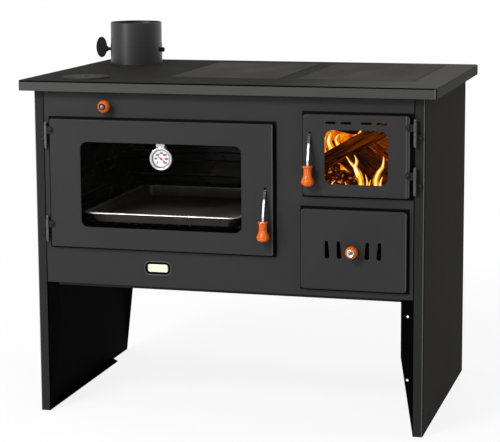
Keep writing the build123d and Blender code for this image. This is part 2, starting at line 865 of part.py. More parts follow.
def fire_door():
    """The fire door's pressed cover, with its window, four air slots and handle slot."""
    cover = pressed_cover((fire_door_left, fire_door_right), (fire_door_bottom, fire_door_top),
                          pressed_corner, pressed_edge_round)
    cover -= window_opening((fire_window_left, fire_window_right), (fire_window_bottom, fire_window_top),
                            fire_window_corner)
    middle = (fire_window_left + fire_window_right) / 2
    for side in (-1, 1):
        for step in (0, 1):
            x = middle + side * (air_slot_middle_gap / 2 + step * air_slot_pitch)
            plane = Plane((x, door_inside + 1, air_slot_z), x_dir=(1, 0, 0), z_dir=(0, -1, 0))
            cover -= extrude(plane * SlotOverall(air_slot_length, air_slot_height), 2 * door_sheet)
    return cover - handle_slot(fire_handle_x, fire_handle_z)


# ---- hinges ----
def hinge_leaf(axis_x, z_low, toward, on_door):
    """A knuckle with its leaf and rivet: the door's leaf lies on the door's face, the frame's
    leaf on the body's front strip."""
    z = (z_low, z_low + knuckle_length)
    middle_z = z_low + knuckle_length / 2
    leaf_z = (middle_z - hinge_leaf_height / 2, middle_z + hinge_leaf_height / 2)
    knuckle = rod((axis_x, hinge_y, z[0]), (axis_x, hinge_y, z[1]), knuckle_radius)
    tip = axis_x + toward * (door_leaf_reach if on_door else frame_leaf_reach)
    if on_door:
        leaf_y = (door_face - leaf_thick, door_face)
        riser_y = (door_face - leaf_thick, hinge_y)
    else:
        leaf_y = (-leaf_thick, 0)
        riser_y = (hinge_y, 0)
    leaf = block(sorted((axis_x, tip)), leaf_y, leaf_z)
    corners = leaf.edges().filter_by(Axis.Y).sort_by(Axis.X)
    leaf = fillet(corners[:2] if toward < 0 else corners[2:], hinge_leaf_corner)
    riser = block(sorted((axis_x, axis_x + toward * knuckle_radius)), riser_y, leaf_z)
    bore = rod((axis_x, hinge_y, z[0] - 1), (axis_x, hinge_y, z[1] + 1),
               pin_radius + (shaft_fit if on_door else 0))
    rivet = turned((tip - toward * rivet_inset, leaf_y[0], middle_z), (0, -1, 0), [
        (0, 0), (rivet_radius, 0), (rivet_radius * 0.9, rivet_height * 0.5),
        (rivet_radius * 0.5, rivet_height * 0.92), (0, rivet_height),
    ])
    return leaf + riser + knuckle - bore + rivet


def door_leaves(axis_x, toward, heights):
    """A door's two upper knuckles and leaves."""
    return [hinge_leaf(axis_x, z + seat_gap / 2, toward, True) for z in heights]


def frame_leaves(axis_x, toward, heights):
    """The frame's two lower knuckles and leaves."""
    return [hinge_leaf(axis_x, z - knuckle_length - seat_gap / 2, toward, False) for z in heights]


def hinge_pins():
    """The four hinge pins, fixed in the frame's knuckles, each with a ball at both ends."""
    pins = []
    for axis_x, heights in ((oven_hinge_x, oven_hinge_heights), (fire_hinge_x, fire_hinge_heights)):
        for z in heights:
            reach = knuckle_length + seat_gap / 2
            ball = math.sqrt(finial_radius ** 2 - pin_radius ** 2)
            pin = rod((axis_x, hinge_y, z - reach), (axis_x, hinge_y, z + reach), pin_radius)
            for end in (-1, 1):
                outline = ball_points(finial_radius, -ball, finial_radius * finial_flat_share, 5)
                pin += turned((axis_x, hinge_y, z + end * (reach + ball)), (0, 0, end), outline)
            pins.append(pin)
    return pins


# ---- latch handles ----
def lever_path(z):
    """The lever's centre line from the hook's nose to the tang, as (y, z) points."""
    return [
        (pivot_y + hook_reach, z + hook_rise), (pivot_y + hook_reach, z), (pivot_y - lever_straight_top, z),
        (grip_y, z - lever_drop + lever_straight_foot), (grip_y, z - lever_drop - lever_tang),
    ]


def latch_lever(x, z):
    """A bent flat lever: hook behind the door, hub on its pivot, widening down to the grip."""
    strip = side_profile(x, lever_path(z), lever_bend_radius, lever_sheet, lever_bottom_width)
    top_half = lever_top_width / 2
    low_half = lever_bottom_width / 2
    low_z = z - lever_drop - lever_tang - lever_tang_spare
    taper_z = z - lever_taper_start
    outline = [
        (x - top_half, z + 2 * hook_rise), (x + top_half, z + 2 * hook_rise), (x + top_half, taper_z),
        (x + low_half, z - lever_drop), (x + low_half, low_z), (x - low_half, low_z),
        (x - low_half, z - lever_drop), (x - top_half, taper_z),
    ]
    width = extrude(Plane.XZ.offset(-pivot_y - 2 * hook_reach) * make_face(Polyline(*outline, close=True)),
                    3 * hook_reach + lever_reach)
    lever = strip & width
    lever += rod((x - top_half, pivot_y, z), (x + top_half, pivot_y, z), hub_radius)
    return lever - rod((x - low_half, pivot_y, z), (x + low_half, pivot_y, z), pivot_radius + shaft_fit)


def latch_bracket(x, z):
    """Two ears inside the door with the pivot pin between them."""
    inner = lever_top_width / 2 + ear_gap
    outer = inner + ear_sheet
    parts = rod((x - outer, pivot_y, z), (x + outer, pivot_y, z), pivot_radius)
    half_height = hub_radius + ear_margin
    for side in (-1, 1):
        ear_x = sorted((x + side * inner, x + side * outer))
        parts += block(ear_x, (door_inside, pivot_y + hub_radius), (z - half_height, z + half_height))
    return parts


def latch_grip(x, z):
    """The turned wooden grip: a bead at its top, a slim waist and a round bulb at its foot."""
    waist_z = -grip_length * grip_waist_share
    bulb_z = -grip_length * grip_bulb_share
    outline = [
        (0, 0), (grip_neck - grip_edge, 0), (grip_neck, -grip_edge), (grip_neck, grip_edge - grip_bead_height),
        (grip_waist, -grip_bead_height), (grip_waist, waist_z),
    ]
    for i in range(1, grip_steps + 1):
        swing = (1 - math.cos(math.pi * i / grip_steps)) / 2
        outline.append((grip_waist + (grip_bulb - grip_waist) * swing,
                        waist_z + (bulb_z - waist_z) * i / grip_steps))
    for i in range(1, grip_steps):
        angle = math.pi / 2 * i / grip_steps
        outline.append((grip_bulb * math.cos(angle), bulb_z - (grip_length + bulb_z) * math.sin(angle)))
    outline.append((0, -grip_length))
    return turned((x, grip_y, z - lever_drop), (0, 0, 1), outline) - latch_lever(x, z)


# ---- knobs ----
def knob(x, z, back_y, hole):
    """A turned wooden ball knob with a flat back, bored for its stem."""
    centre_y = back_y - knob_radius + knob_flat
    outline = ball_points(knob_radius, knob_flat - knob_radius, cap_seat(), 9)
    ball = turned((x, centre_y, z), (0, -1, 0), outline)
    return ball - rod((x, back_y + 1, z), (x, centre_y, z), hole)


def cap_seat():
    """How far in front of a knob's centre its cap sits."""
    return math.sqrt(knob_radius ** 2 - knob_cap_radius ** 2)


def knob_cap(x, z, back_y):
    """The domed metal cap on a knob's nose."""
    seat_y = back_y - knob_radius + knob_flat - cap_seat()
    points = [
        (0, 0), (knob_cap_radius, 0), (knob_cap_radius, 0.8), (knob_cap_radius * 0.8, knob_cap_height * 0.7),
        (knob_cap_radius * 0.4, knob_cap_height * 0.95), (0, knob_cap_height),
    ]
    return turned((x, seat_y, z), (0, -1, 0), points)


# ---- thermometer ----
def dial_point(y):
    """A point on the thermometer's axis."""
    return (dial_x, y, dial_z)


def thermometer_case():
    """The round cup with a thick bezel round the dial."""
    back = dial_front + dial_case_depth
    wall = dial_case_wall
    points = [
        (0, -back), (dial_radius - 1, -back), (dial_radius, -back + 1), (dial_radius, -dial_front - 1),
        (dial_radius - 1, -dial_front), (dial_radius - wall, -dial_front),
        (dial_radius - wall, -back + wall), (0, -back + wall),
    ]
    return turned(dial_point(0), (0, -1, 0), points)


def thermometer_dial():
    """The flat dial plate on a short spacer in the cup, with a hole for the pointer's hub."""
    inner = dial_radius - dial_case_wall
    back = dial_front + dial_case_depth - dial_case_wall
    plate = rod(dial_point(dial_front + 3), dial_point(dial_front + 4), inner)
    spacer = rod(dial_point(dial_front + 4), dial_point(back), 6)
    return plate + spacer - rod(dial_point(dial_front), dial_point(dial_front + 6), 1 + shaft_fit)


def thermometer_lens():
    """The clear front of the thermometer."""
    return rod(dial_point(dial_front + 0.3), dial_point(dial_front + 1.1), dial_radius - dial_case_wall)


def thermometer_pointer():
    """A flat needle with a tail on a small hub."""
    half = pointer_width / 2
    outline = [(-pointer_tail, -half), (-pointer_tail, half), (pointer_length - 3, half * 0.6),
               (pointer_length, 0), (pointer_length - 3, -half * 0.6)]
    plane = Plane(dial_point(dial_front + 2.5), x_dir=(1, 0, 0), z_dir=(0, -1, 0)) * Rot(0, 0, pointer_angle)
    needle = extrude(plane * make_face(Polyline(*outline, close=True)), 0.6)
    hub = rod(dial_point(dial_front + 1.6), dial_point(dial_front + 5), 1)
    disc = rod(dial_point(dial_front + 1.6), dial_point(dial_front + 2.5), 3)
    return needle + hub + disc


def thermometer_bracket():
    """A strip fixed above the glass that reaches down in front of it and behind the dial's cup."""
    seat = door_inside + bracket_sheet / 2
    step = door_inside + glass_thickness + bracket_sheet / 2 + bracket_glass_gap
    over = dial_z + dial_radius + bracket_sheet / 2 + seat_gap
    behind = dial_front + dial_case_depth + bracket_sheet / 2
    glass_top = oven_window_top + glass_lap
    path = [
        (seat, glass_top + bracket_foot), (seat, glass_top + bracket_step_top),
        (step, glass_top + bracket_step_foot), (step, over), (behind, over),
        (behind, dial_z - bracket_below_dial),
    ]
    return side_profile(dial_x, path, bracket_bend_radius, bracket_sheet, bracket_width)


# ---- firebox ----
def firebox_divider():
    """The upright steel plate between the oven's smoke channel and the firebox."""
    return block((divider_x, divider_x + inner_sheet), (flange_back, back_panel_y), (floor_top, divider_top))


def firebox_floor():
    """The plate that carries the grate and bricks, open below the grate."""
    left = divider_x + inner_sheet
    plate = block((left, inside_x), (flange_back, fire_floor_back), (fire_floor_z, fire_floor_top))
    open_x = (grate_left + grate_bearing, grate_right - grate_bearing)
    open_y = (grate_front + grate_bearing, grate_back - grate_bearing)
    return plate - block(open_x, open_y, (fire_floor_z - 1, fire_floor_top + 1))


def fire_grate():
    """The cast grate: long slots that widen downwards so that ash falls through."""
    grate = flat_plate((grate_left, grate_right), (grate_front, grate_back),
                       (fire_floor_top, fire_floor_top + grate_thick), 6)
    span = grate_back - grate_front - 4 * grate_bearing
    pitch = (grate_right - grate_left - 2 * grate_bearing) / grate_slots
    top = fire_floor_top + grate_thick
    for i in range(grate_slots):
        x = grate_left + grate_bearing + pitch * (i + 0.5)
        middle = Pos(x, (grate_front + grate_back) / 2)
        high = middle * Pos(0, 0, top + 1) * Rectangle(grate_slot_width - 1, span)
        low = middle * Pos(0, 0, fire_floor_top - 1) * Rectangle(grate_slot_width + 3, span)
        grate -= loft([low, high])
    return grate


def firebricks():
    """The three firebrick slabs: against the divider, against the right side panel and at the back."""
    left = divider_x + inner_sheet
    y = (flange_back, brick_back_y)
    return [
        block((left, brick_left_x), y, (fire_floor_top, divider_top)),
        block((brick_right_x, inside_x), y, (fire_floor_top, brick_top)),
        block((left, inside_x), (brick_back_y, brick_back_y + brick_thick), (fire_floor_top, brick_top)),
    ]


def fire_frame():
    """The cast frame behind the panels' front flanges, round the firebox opening."""
    frame = block((brick_left_x, brick_right_x), (flange_back, flange_back + fire_frame_thick),
                  (fire_floor_top, brick_top))
    frame -= fire_mouth((0, 4 * fire_frame_thick))
    return frame - hook_slot(fire_handle_x, fire_handle_z, (0, 4 * fire_frame_thick))


# ---- ash drawer ----
def ash_drawer_front():
    """The drawer's pressed cover: four teardrop air slots, a slot for the knob's stem, and two
    strips inside that guide the shutter."""
    cover = pressed_cover((drawer_left, drawer_right), (drawer_bottom, drawer_top),
                          pressed_corner, pressed_edge_round)
    for x, outward in teardrop_places():
        cover -= extrude(Plane.XZ.offset(-door_inside - 1) * teardrop(x, outward), door_sheet + 2)
    reach = stem_radius + running_gap
    stem_slot_x = (ash_knob_x - shutter_travel - reach, ash_knob_x + reach)
    stem_slot_z = (ash_knob_z - reach, ash_knob_z + reach)
    cover -= front_plate(stem_slot_x, stem_slot_z, (door_face - 1, door_inside + 1), reach * full_round_share)
    strip_x = (ash_knob_x - shutter_side - shutter_travel, ash_knob_x + shutter_side)
    low = teardrop_bottom - shutter_margin - running_gap
    high = teardrop_top + shutter_margin + running_gap
    depth = (door_inside, door_inside + 2 * shutter_sheet)
    cover += block(strip_x, depth, (low - guide_height, low))
    return cover + block(strip_x, depth, (high, high + guide_height))


def ash_drawer_pan():
    """The ash pan: a long sheet box, open on top, welded behind the drawer's face."""
    wall = pan_sheet
    y = (door_inside, pan_back)
    pan = flat_plate((pan_left, pan_right), y, (pan_bottom, pan_bottom + pan_height), pan_corner)
    pan -= flat_plate((pan_left + wall, pan_right - wall), (y[0] + wall, y[1] - wall),
                      (pan_bottom + wall, pan_bottom + pan_height + 1), pan_corner - wall)
    return pan


def ash_rails():
    """Two bent rails that stand on the bottom plate and carry the pan."""
    rails = []
    for side, pan_side in ((-1, pan_left), (1, pan_right)):
        wall_x = pan_side + side * running_gap
        shelf_top = pan_bottom - running_gap
        web = block(sorted((wall_x, wall_x + side * rail_sheet)), (flange_back, rail_back),
                    (floor_top, pan_bottom + rail_rise))
        shelf_x = sorted((wall_x + side * rail_sheet, wall_x - side * rail_shelf))
        shelf = block(shelf_x, (flange_back, rail_back), (shelf_top - rail_sheet, shelf_top))
        rails.append(web + shelf)
    return rails


def air_shutter():
    """The sheet that slides behind the teardrop slots, with matching windows and the knob's stem."""
    y = (door_inside + shutter_clearance, door_inside + shutter_clearance + shutter_sheet)
    z = (teardrop_bottom - shutter_margin, teardrop_top + shutter_margin)
    plate = front_plate((ash_knob_x - shutter_side, ash_knob_x + shutter_side), z, y, shutter_corner)
    half = teardrop_wide / 2 + shutter_hole_side
    hole_z = (teardrop_bottom - shutter_hole_end, teardrop_top + shutter_hole_end)
    for x, _ in teardrop_places():
        plate -= front_plate((x - half, x + half), hole_z, (y[0] - 1, y[1] + 1), shutter_hole_corner)
    washer = rod((ash_knob_x, door_face - running_gap, ash_knob_z), (ash_knob_x, ash_knob_back, ash_knob_z),
                 shutter_washer_radius)
    centre_y = ash_knob_back - knob_radius + knob_flat
    return plate + washer + rod((ash_knob_x, y[1], ash_knob_z), (ash_knob_x, centre_y, ash_knob_z), stem_radius)


# ---- bypass damper ----
def flue_baffle():
    """The upright sheet over the oven's rear, with the bypass opening that leads to the collar."""
    baffle = block((-inside_x, divider_x), (baffle_y, baffle_y + inner_sheet),
                   (oven_ceiling + oven_sheet, sheet_z - ledge_sheet))
    half = bypass_plate_width / 2 - bypass_lap
    rise = bypass_plate_height / 2 - bypass_lap
    return baffle - front_plate((bypass_x - half, bypass_x + half), (bypass_z - rise, bypass_z + rise),
                                (baffle_y - 1, baffle_y + inner_sheet + 1), 8)


def bypass_guide():
    """A small angle on the oven's roof that steadies the bypass rod."""
    base_z = oven_ceiling + oven_sheet
    x = (bypass_x - guide_width / 2, bypass_x + guide_width / 2)
    foot = block(x, (guide_y, guide_y + guide_width), (base_z, base_z + inner_sheet))
    tab = front_plate(x, (base_z, bypass_z + guide_width / 2), (guide_y, guide_y + inner_sheet), 2)
    bore = rod((bypass_x, guide_y - 1, bypass_z), (bypass_x, guide_y + guide_width, bypass_z),
               bypass_rod_radius + shaft_fit)
    return foot + tab - bore


def bypass_rod():
    """The long round rod from the knob to the bypass plate, thinner where the knob sits."""
    rod_start = -bypass_knob_gap
    knob_centre = rod_start - knob_radius + knob_flat
    body = rod((bypass_x, rod_start, bypass_z), (bypass_x, baffle_y - inner_sheet, bypass_z), bypass_rod_radius)
    return body + rod((bypass_x, knob_centre, bypass_z), (bypass_x, rod_start, bypass_z), stem_radius)


def bypass_plate():
    """The flat valve plate that covers the baffle's opening when the knob is pushed in."""
    half = bypass_plate_width / 2
    rise = bypass_plate_height / 2
    return front_plate((bypass_x - half, bypass_x + half), (bypass_z - rise, bypass_z + rise),
                       (baffle_y - inner_sheet, baffle_y - running_gap), bypass_plate_corner)


# ---- the whole stove ----
def make_nodes():
    """Every separate piece by name, as a list of solids where a name covers several."""
    oven_x = (oven_window_left, oven_window_right)
    oven_z = (oven_window_bottom, oven_window_top)
    fire_x = (fire_window_left, fire_window_right)
    fire_z = (fire_window_bottom, fire_window_top)
    mouth = oven_sheet + mouth_gap
    oven_hole_x = (oven_left - mouth, oven_right + mouth)
    oven_hole_z = (oven_floor - mouth, oven_ceiling + mouth)
    oven_width = oven_window_right - oven_window_left
    fire_middle_x = (fire_window_left + fire_window_right) / 2
    fire_middle_z = (fire_window_bottom + fire_window_top) / 2
    oven_middle_z = (oven_window_bottom + oven_window_top) / 2
    return {
        "cooktop": cooktop(),
        "side_panel_left": side_panel(-1),
        "side_panel_right": side_panel(1),
        "front_panel": front_panel(),
        "back_panel": back_panel(),
        "back_screws": back_screws(),
        "bottom_plate": bottom_plate(),
        "badge_plate": badge_plate(),
        "middle_hotplate": hotplate(middle_plate_x, middle_plate_width),
        "right_hotplate": right_hotplate(),
        "round_lid": round_lid(),
        "cleanout_cap": cleanout_cap(),
        "flue_collar": flue_collar(),
        "damper_shaft": damper_shaft(),
        "damper_plate": damper_plate() - damper_shaft(),
        "damper_handle": damper_handle(),
        "oven_box": oven_box(),
        "oven_grid": oven_grid(),
        "baking_tray": baking_tray(),
        "oven_door": oven_door(),
        "oven_glass": door_glass(oven_x, oven_z),
        "oven_glass_clips": glass_clips(oven_x, oven_z, [oven_window_left + oven_width * f for f in (0.15, 0.8)],
                                        [oven_middle_z]),
        "oven_rope_seal": rope_seal(oven_hole_x, oven_hole_z),
        "oven_door_hinge_leaves": door_leaves(oven_hinge_x, 1, oven_hinge_heights),
        "oven_frame_hinge_leaves": frame_leaves(oven_hinge_x, -1, oven_hinge_heights),
        "oven_latch_bracket": latch_bracket(oven_handle_x, oven_handle_z),
        "oven_latch_lever": latch_lever(oven_handle_x, oven_handle_z),
        "oven_latch_grip": latch_grip(oven_handle_x, oven_handle_z),
        "thermometer_bracket": thermometer_bracket(),
        "thermometer_case": thermometer_case(),
        "thermometer_dial": thermometer_dial(),
        "thermometer_pointer": thermometer_pointer(),
        "thermometer_lens": thermometer_lens(),
        "fire_door": fire_door(),
        "fire_glass": door_glass(fire_x, fire_z),
        "fire_glass_clips": glass_clips(fire_x, fire_z, [fire_middle_x], [fire_middle_z]),
        "fire_rope_seal": rope_seal((fire_mouth_left, fire_mouth_right), (fire_mouth_bottom, fire_mouth_top)),
        "fire_door_hinge_leaves": door_leaves(fire_hinge_x, -1, fire_hinge_heights),
        "fire_frame_hinge_leaves": frame_leaves(fire_hinge_x, 1, fire_hinge_heights),
        "hinge_pins": hinge_pins(),
        "fire_latch_bracket": latch_bracket(fire_handle_x, fire_handle_z),
        "fire_latch_lever": latch_lever(fire_handle_x, fire_handle_z),
        "fire_latch_grip": latch_grip(fire_handle_x, fire_handle_z),
        "firebox_divider": firebox_divider(),
        "firebox_floor": firebox_floor(),
        "fire_grate": fire_grate(),
        "firebricks": firebricks(),
        "fire_frame": fire_frame(),
        "ash_drawer_front": ash_drawer_front(),
        "ash_drawer_pan": ash_drawer_pan(),
        "ash_rails": ash_rails(),
        "air_shutter": air_shutter(),
        "ash_knob": knob(ash_knob_x, ash_knob_z, ash_knob_back, stem_radius),
        "ash_knob_cap": knob_cap(ash_knob_x, ash_knob_z, ash_knob_back),
        "flue_baffle": flue_baffle(),
        "bypass_guide": bypass_guide(),
        "bypass_rod": bypass_rod(),
        "bypass_plate": bypass_plate(),
        "bypass_knob": knob(bypass_x, bypass_z, -bypass_knob_gap, stem_radius),
        "bypass_knob_cap": knob_cap(bypass_x, bypass_z, -bypass_knob_gap),
    }


def main():
    """Write one STEP file for each named piece, in the finished stove's own frame."""
    os.makedirs("parts", exist_ok=True)
    for name, shape in make_nodes().items():
        pieces = shape if isinstance(shape, list) else [shape]
        placed = [Pos(0, -middle_y, 0) * piece for piece in pieces]
        whole = placed[0] if len(placed) == 1 else Compound(children=placed)
        export_step(whole, f"parts/{name}.step")


main()
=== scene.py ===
import math
import random

import bmesh
import bpy
from mathutils import Euler, Matrix, Vector
from mathutils.geometry import interpolate_bezier


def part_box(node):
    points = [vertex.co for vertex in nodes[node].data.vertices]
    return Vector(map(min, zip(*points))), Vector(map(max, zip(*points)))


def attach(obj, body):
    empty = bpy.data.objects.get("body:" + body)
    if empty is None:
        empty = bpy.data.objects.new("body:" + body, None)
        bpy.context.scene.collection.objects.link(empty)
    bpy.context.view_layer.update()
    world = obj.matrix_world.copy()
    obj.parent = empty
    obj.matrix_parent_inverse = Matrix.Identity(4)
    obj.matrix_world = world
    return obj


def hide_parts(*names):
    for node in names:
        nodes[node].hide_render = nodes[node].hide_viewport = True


# A free-standing wood cookstove: folded sheet on two side panels, a rimmed top with lift-out
# plates, a glazed oven door on the left, and a glazed fire door over an ash drawer on the right.
# Metres throughout; +Z is up, +Y goes to the back and +X to the firebox side.

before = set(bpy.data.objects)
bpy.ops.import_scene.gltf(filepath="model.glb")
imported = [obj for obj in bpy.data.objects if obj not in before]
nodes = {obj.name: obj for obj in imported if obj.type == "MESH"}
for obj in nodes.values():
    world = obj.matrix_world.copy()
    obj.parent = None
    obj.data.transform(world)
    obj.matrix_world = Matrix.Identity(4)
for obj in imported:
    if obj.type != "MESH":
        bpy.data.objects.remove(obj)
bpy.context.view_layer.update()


# ---- Studio -----------------------------------------------------------------------------------
# A plain white floor in a white room. A large soft lamp hangs high in front, a smaller one on
# its left and a weak one above; three low ones fill in the sides and the back and aren't
# mirrored. The camera stands where the picture of the stove was taken.
picture_width_pixels = 500
focal_length_pixels = 1732.55
camera_place = Vector((1.0650, -3.9457, 1.1302))
camera_turn = 0.26781
camera_tilt = 0.14916
camera_roll = -0.00586
camera_shift = -0.08
sensor_width = 36.0
floor_reach = 30.0
floor_tone = (0.93, 0.93, 0.93)
# the floor looks whiter with its distance from the stove, from near to far
floor_glow_near, floor_glow_far = 0.86, 1.0
near_floor, far_floor = 0.9, 2.6
room_light = 0.3
lamp_target = Vector((0, 0, 0.5))
# (name, place, size, power, whether it is mirrored)
lamps = (
    ("front_lamp", (-0.9, -2.5, 2.3), 0.8, 68, True),
    ("left_lamp", (-2.3, -2.9, 1.4), 0.5, 42, True),
    ("right_lamp", (3.0, 0.4, 0.4), 0.7, 40, False),
    ("left_rear_lamp", (-3.0, 0.6, 0.4), 0.7, 50, False),
    ("rear_lamp", (0.0, 3.3, 0.4), 0.7, 70, False),
    ("top_lamp", (1.7, 1.3, 2.2), 1.2, 9, True),
)

forward = Vector((-math.sin(camera_turn) * math.cos(camera_tilt),
                  math.cos(camera_turn) * math.cos(camera_tilt), -math.sin(camera_tilt)))
level_right = Vector((math.cos(camera_turn), math.sin(camera_turn), 0))
level_up = level_right.cross(forward)
right = level_right * math.cos(camera_roll) + level_up * math.sin(camera_roll)
upward = level_up * math.cos(camera_roll) - level_right * math.sin(camera_roll)


def stand(name, data):
    """Put a new object into the scene."""
    thing = bpy.data.objects.new(name, data)
    bpy.context.collection.objects.link(thing)
    return thing


camera_data = bpy.data.cameras.new("camera")
camera_data.sensor_width = sensor_width
camera_data.lens = focal_length_pixels / picture_width_pixels * sensor_width
camera_data.shift_y = camera_shift
camera = stand("camera", camera_data)
turn = Matrix((right, upward, -forward)).transposed()
camera.matrix_world = Matrix.Translation(camera_place) @ turn.to_4x4()
bpy.context.scene.camera = camera
bpy.context.scene.view_settings.view_transform = "Standard"

for lamp_name, lamp_place, lamp_size, lamp_power, mirrored in lamps:
    lamp_data = bpy.data.lights.new(lamp_name, "AREA")
    lamp_data.size = lamp_size
    lamp_data.energy = lamp_power
    lamp = stand(lamp_name, lamp_data)
    lamp.location = lamp_place
    lamp.rotation_euler = (lamp_target - lamp.location).to_track_quat("-Z", "Y").to_euler()
    lamp.visible_glossy = mirrored


class Value:
    """A number, colour, vector or shader that varies: one output of a shader node."""

    def __init__(self, tree, socket):
        self.tree = tree
        self.socket = socket

    def maths(self, operation, *terms):
        return self.tree.node("Math", {"operation": operation}, dict(enumerate(terms)))

    def __add__(self, other):
        return self.maths("ADD", self, other)

    def __sub__(self, other):
        return self.maths("SUBTRACT", self, other)

    def __rsub__(self, other):
        return self.maths("SUBTRACT", other, self)

    def __mul__(self, other):
        return self.maths("MULTIPLY", self, other)

    def __abs__(self):
        return self.maths("ABSOLUTE", self)

    __radd__ = __add__
    __rmul__ = __mul__

    def larger(self, other):
        return self.maths("MAXIMUM", self, other)

    def smaller(self, other):
        return self.maths("MINIMUM", self, other)

    def step(self, low, high):
        """0 below low, 1 above high and smooth between them."""
        return self.tree.node("MapRange", {"interpolation_type": "SMOOTHSTEP"},
                              {"Value": self, "From Min": low, "From Max": high})

    def past(self, edge, fade):
        """0 before an edge and 1 past it, changing between two distances from the edge."""
        return self.step(edge + fade[0], edge + fade[1])

    def near(self, place, fade):
        """1 at a place and 0 away from it, changing between two distances from the place."""
        return 1 - abs(self - place).step(*fade)


class ShaderTree:
    """The shader nodes of a material or of the world."""

    def __init__(self, owner):
        owner.use_nodes = True
        self.nodes = owner.node_tree.nodes
        self.links = owner.node_tree.links

    def put(self, socket, value):
        """Link a value to a socket, or set it to a number, colour or vector."""
        if isinstance(value, Value):
            self.links.new(value.socket, socket)
        elif socket.type == "RGBA":
            socket.default_value = (*value[:3], 1)
        else:
            socket.default_value = value

    def node(self, kind, settings=None, inputs=None, output=0):
        """Add a shader node: its settings first, then the values or links of its sockets."""
        made = self.nodes.new("ShaderNode" + kind)
        for setting, value in (settings or {}).items():
            if setting == "stops":
                ramp = made.color_ramp.elements
                while len(ramp) < len(value):
                    ramp.new(0.5)
                for stop, (position, colour) in zip(ramp, value):
                    stop.position = position
                    stop.color = (*colour, 1)
            else:
                setattr(made, setting, value)
        for socket, value in (inputs or {}).items():
            self.put(made.inputs[socket], value)
        return Value(self, made.outputs[output])

    def whiten(self, output, lit, white, share):
        """Show white where the surface is looked at, mirrored or seen through glass, by a share,
        and what is lit where it only gives light."""
        seen = self.node("LightPath", output="Is Camera Ray")
        for kind in ("Glossy", "Transmission"):
            seen = seen.larger(self.node("LightPath", output=f"Is {kind} Ray"))
        shown = self.node("MixShader", None, {0: seen * share, 1: lit, 2: white})
        self.put(self.nodes[output].inputs["Surface"], shown)


class Finish(ShaderTree):
    """One material: its main shader, and the nodes that make it vary."""

    def __init__(self, name, **constants):
        self.material = bpy.data.materials.new(name)
        super().__init__(self.material)
        self.shader = self.nodes["Principled BSDF"]
        self.set(**constants)
        self.place = self.node("TexCoord", output="Object")

    def noise(self, scale, detail=2.0, stretch=(1, 1, 1), twist=0.0, incline=0.0):
        """Clouds from 0 to 1, with scale features to the metre, squeezed along the axes, which
        are first inclined about the depth axis."""
        place = self.node("Mapping", {"vector_type": "TEXTURE"},
                          {"Vector": self.place, "Rotation": (0, -incline, 0),
                           "Scale": [1 / factor for factor in stretch]})
        return self.node("TexNoise", None, {"Vector": place, "Scale": scale, "Detail": detail,
                                            "Distortion": twist})

    def cells(self, scale, feature="F1"):
        """Distance from the middles, or from the edges, of random cells."""
        return self.node("TexVoronoi", {"feature": feature}, {"Vector": self.place, "Scale": scale})

    def along(self, axis):
        """The place along one axis, in metres."""
        return self.node("SeparateXYZ", None, {"Vector": self.place}, output=axis)

    def mix(self, share, first, second):
        """A colour between two, by a share from 0 to 1."""
        return self.node("Mix", {"data_type": "RGBA"}, {0: share, 6: first, 7: second}, output=2)

    def ramp(self, value, *stops):
        """A colour read from (position, colour) stops."""
        return self.node("ValToRGB", {"stops": stops}, {"Fac": value})

    def set(self, **values):
        """Give the main shader's sockets their values."""
        for socket, value in values.items():
            self.put(self.shader.inputs[socket.replace("_", " ")], value)

    def bump(self, height, depth):
        """Raise the surface by height, from 0 to 1, times depth in metres."""
        self.set(Normal=self.node("Bump", None, {"Height": height, "Distance": depth,
                                                 "Strength": 1.0}))


world = bpy.data.worlds.new("white_room")
bpy.context.scene.world = world
room = ShaderTree(world)
soft_light, white_seen = (
    room.node("Background", None, {"Color": (1, 1, 1), "Strength": strength})
    for strength in (room_light, 1.0))
room.whiten("World Output", soft_light, white_seen, 1)

floor_paper = Finish("floor_paper", Base_Color=floor_tone, Roughness=0.9)
from_middle = floor_paper.node("VectorMath", {"operation": "LENGTH"}, {0: floor_paper.place},
                               output="Value")
floor_glow = floor_paper.node("MapRange", None, {
    "Value": from_middle, "From Min": near_floor, "From Max": far_floor,
    "To Min": floor_glow_near, "To Max": floor_glow_far})
lit_paper = Value(floor_paper, floor_paper.shader.outputs[0])
floor_paper.whiten("Material Output", lit_paper, floor_paper.node("Emission"), floor_glow)
floor_mesh = bpy.data.meshes.new("floor")
floor_mesh.from_pydata([(-floor_reach, -floor_reach, 0), (floor_reach, -floor_reach, 0),
                        (floor_reach, floor_reach, 0), (-floor_reach, floor_reach, 0)],
                       [], [(0, 1, 2, 3)])
floor_mesh.materials.append(floor_paper.material)
stand("floor", floor_mesh)


# ---- Side panels ------------------------------------------------------------------------------
# Two folded steel sheets that run from the top to the floor and are the stove's legs. They are
# sprayed with a heat-proof anthracite coat that dries to a fine pebbled skin.
def scaled(colour, factor):
    """A colour made lighter or darker."""
    return tuple(channel * factor for channel in colour)


def dress(finish, *names):
    """Give CAD nodes a finish."""
    for name in names:
        mesh = nodes[name].data
        if not mesh.materials:
            mesh.materials.append(finish.material)
        for index in range(len(mesh.materials)):
            mesh.materials[index] = finish.material


def spray_paint(name, colour, roughness, pebble_depth, shade_mask=None, shine=0.04):
    """A heat-proof spray coat: pebbled skin, fine speckle and a cloudy gloss. It is painted black
    as painted shade where the shade mask, a function, gives 1."""
    coat = Finish(name, Specular_IOR_Level=shine)
    clouds = coat.noise(4.0, detail=3)
    speckle = coat.noise(1500.0, detail=1)
    skin = coat.noise(700.0, detail=2)
    scuffs = coat.noise(26.0, detail=5, stretch=(1, 1, 0.15)).step(0.62, 0.78)
    paint = coat.mix(0.45 * clouds + 0.55 * speckle, scaled(colour, 0.78), scaled(colour, 1.22))
    if shade_mask:
        paint = coat.mix(shade_mask(coat), paint, painted_shade_black)
    coat.paint = paint
    coat.set(Base_Color=paint, Roughness=roughness + 0.12 * (clouds - 0.5) - 0.05 * scuffs)
    coat.bump(skin, pebble_depth)
    return coat


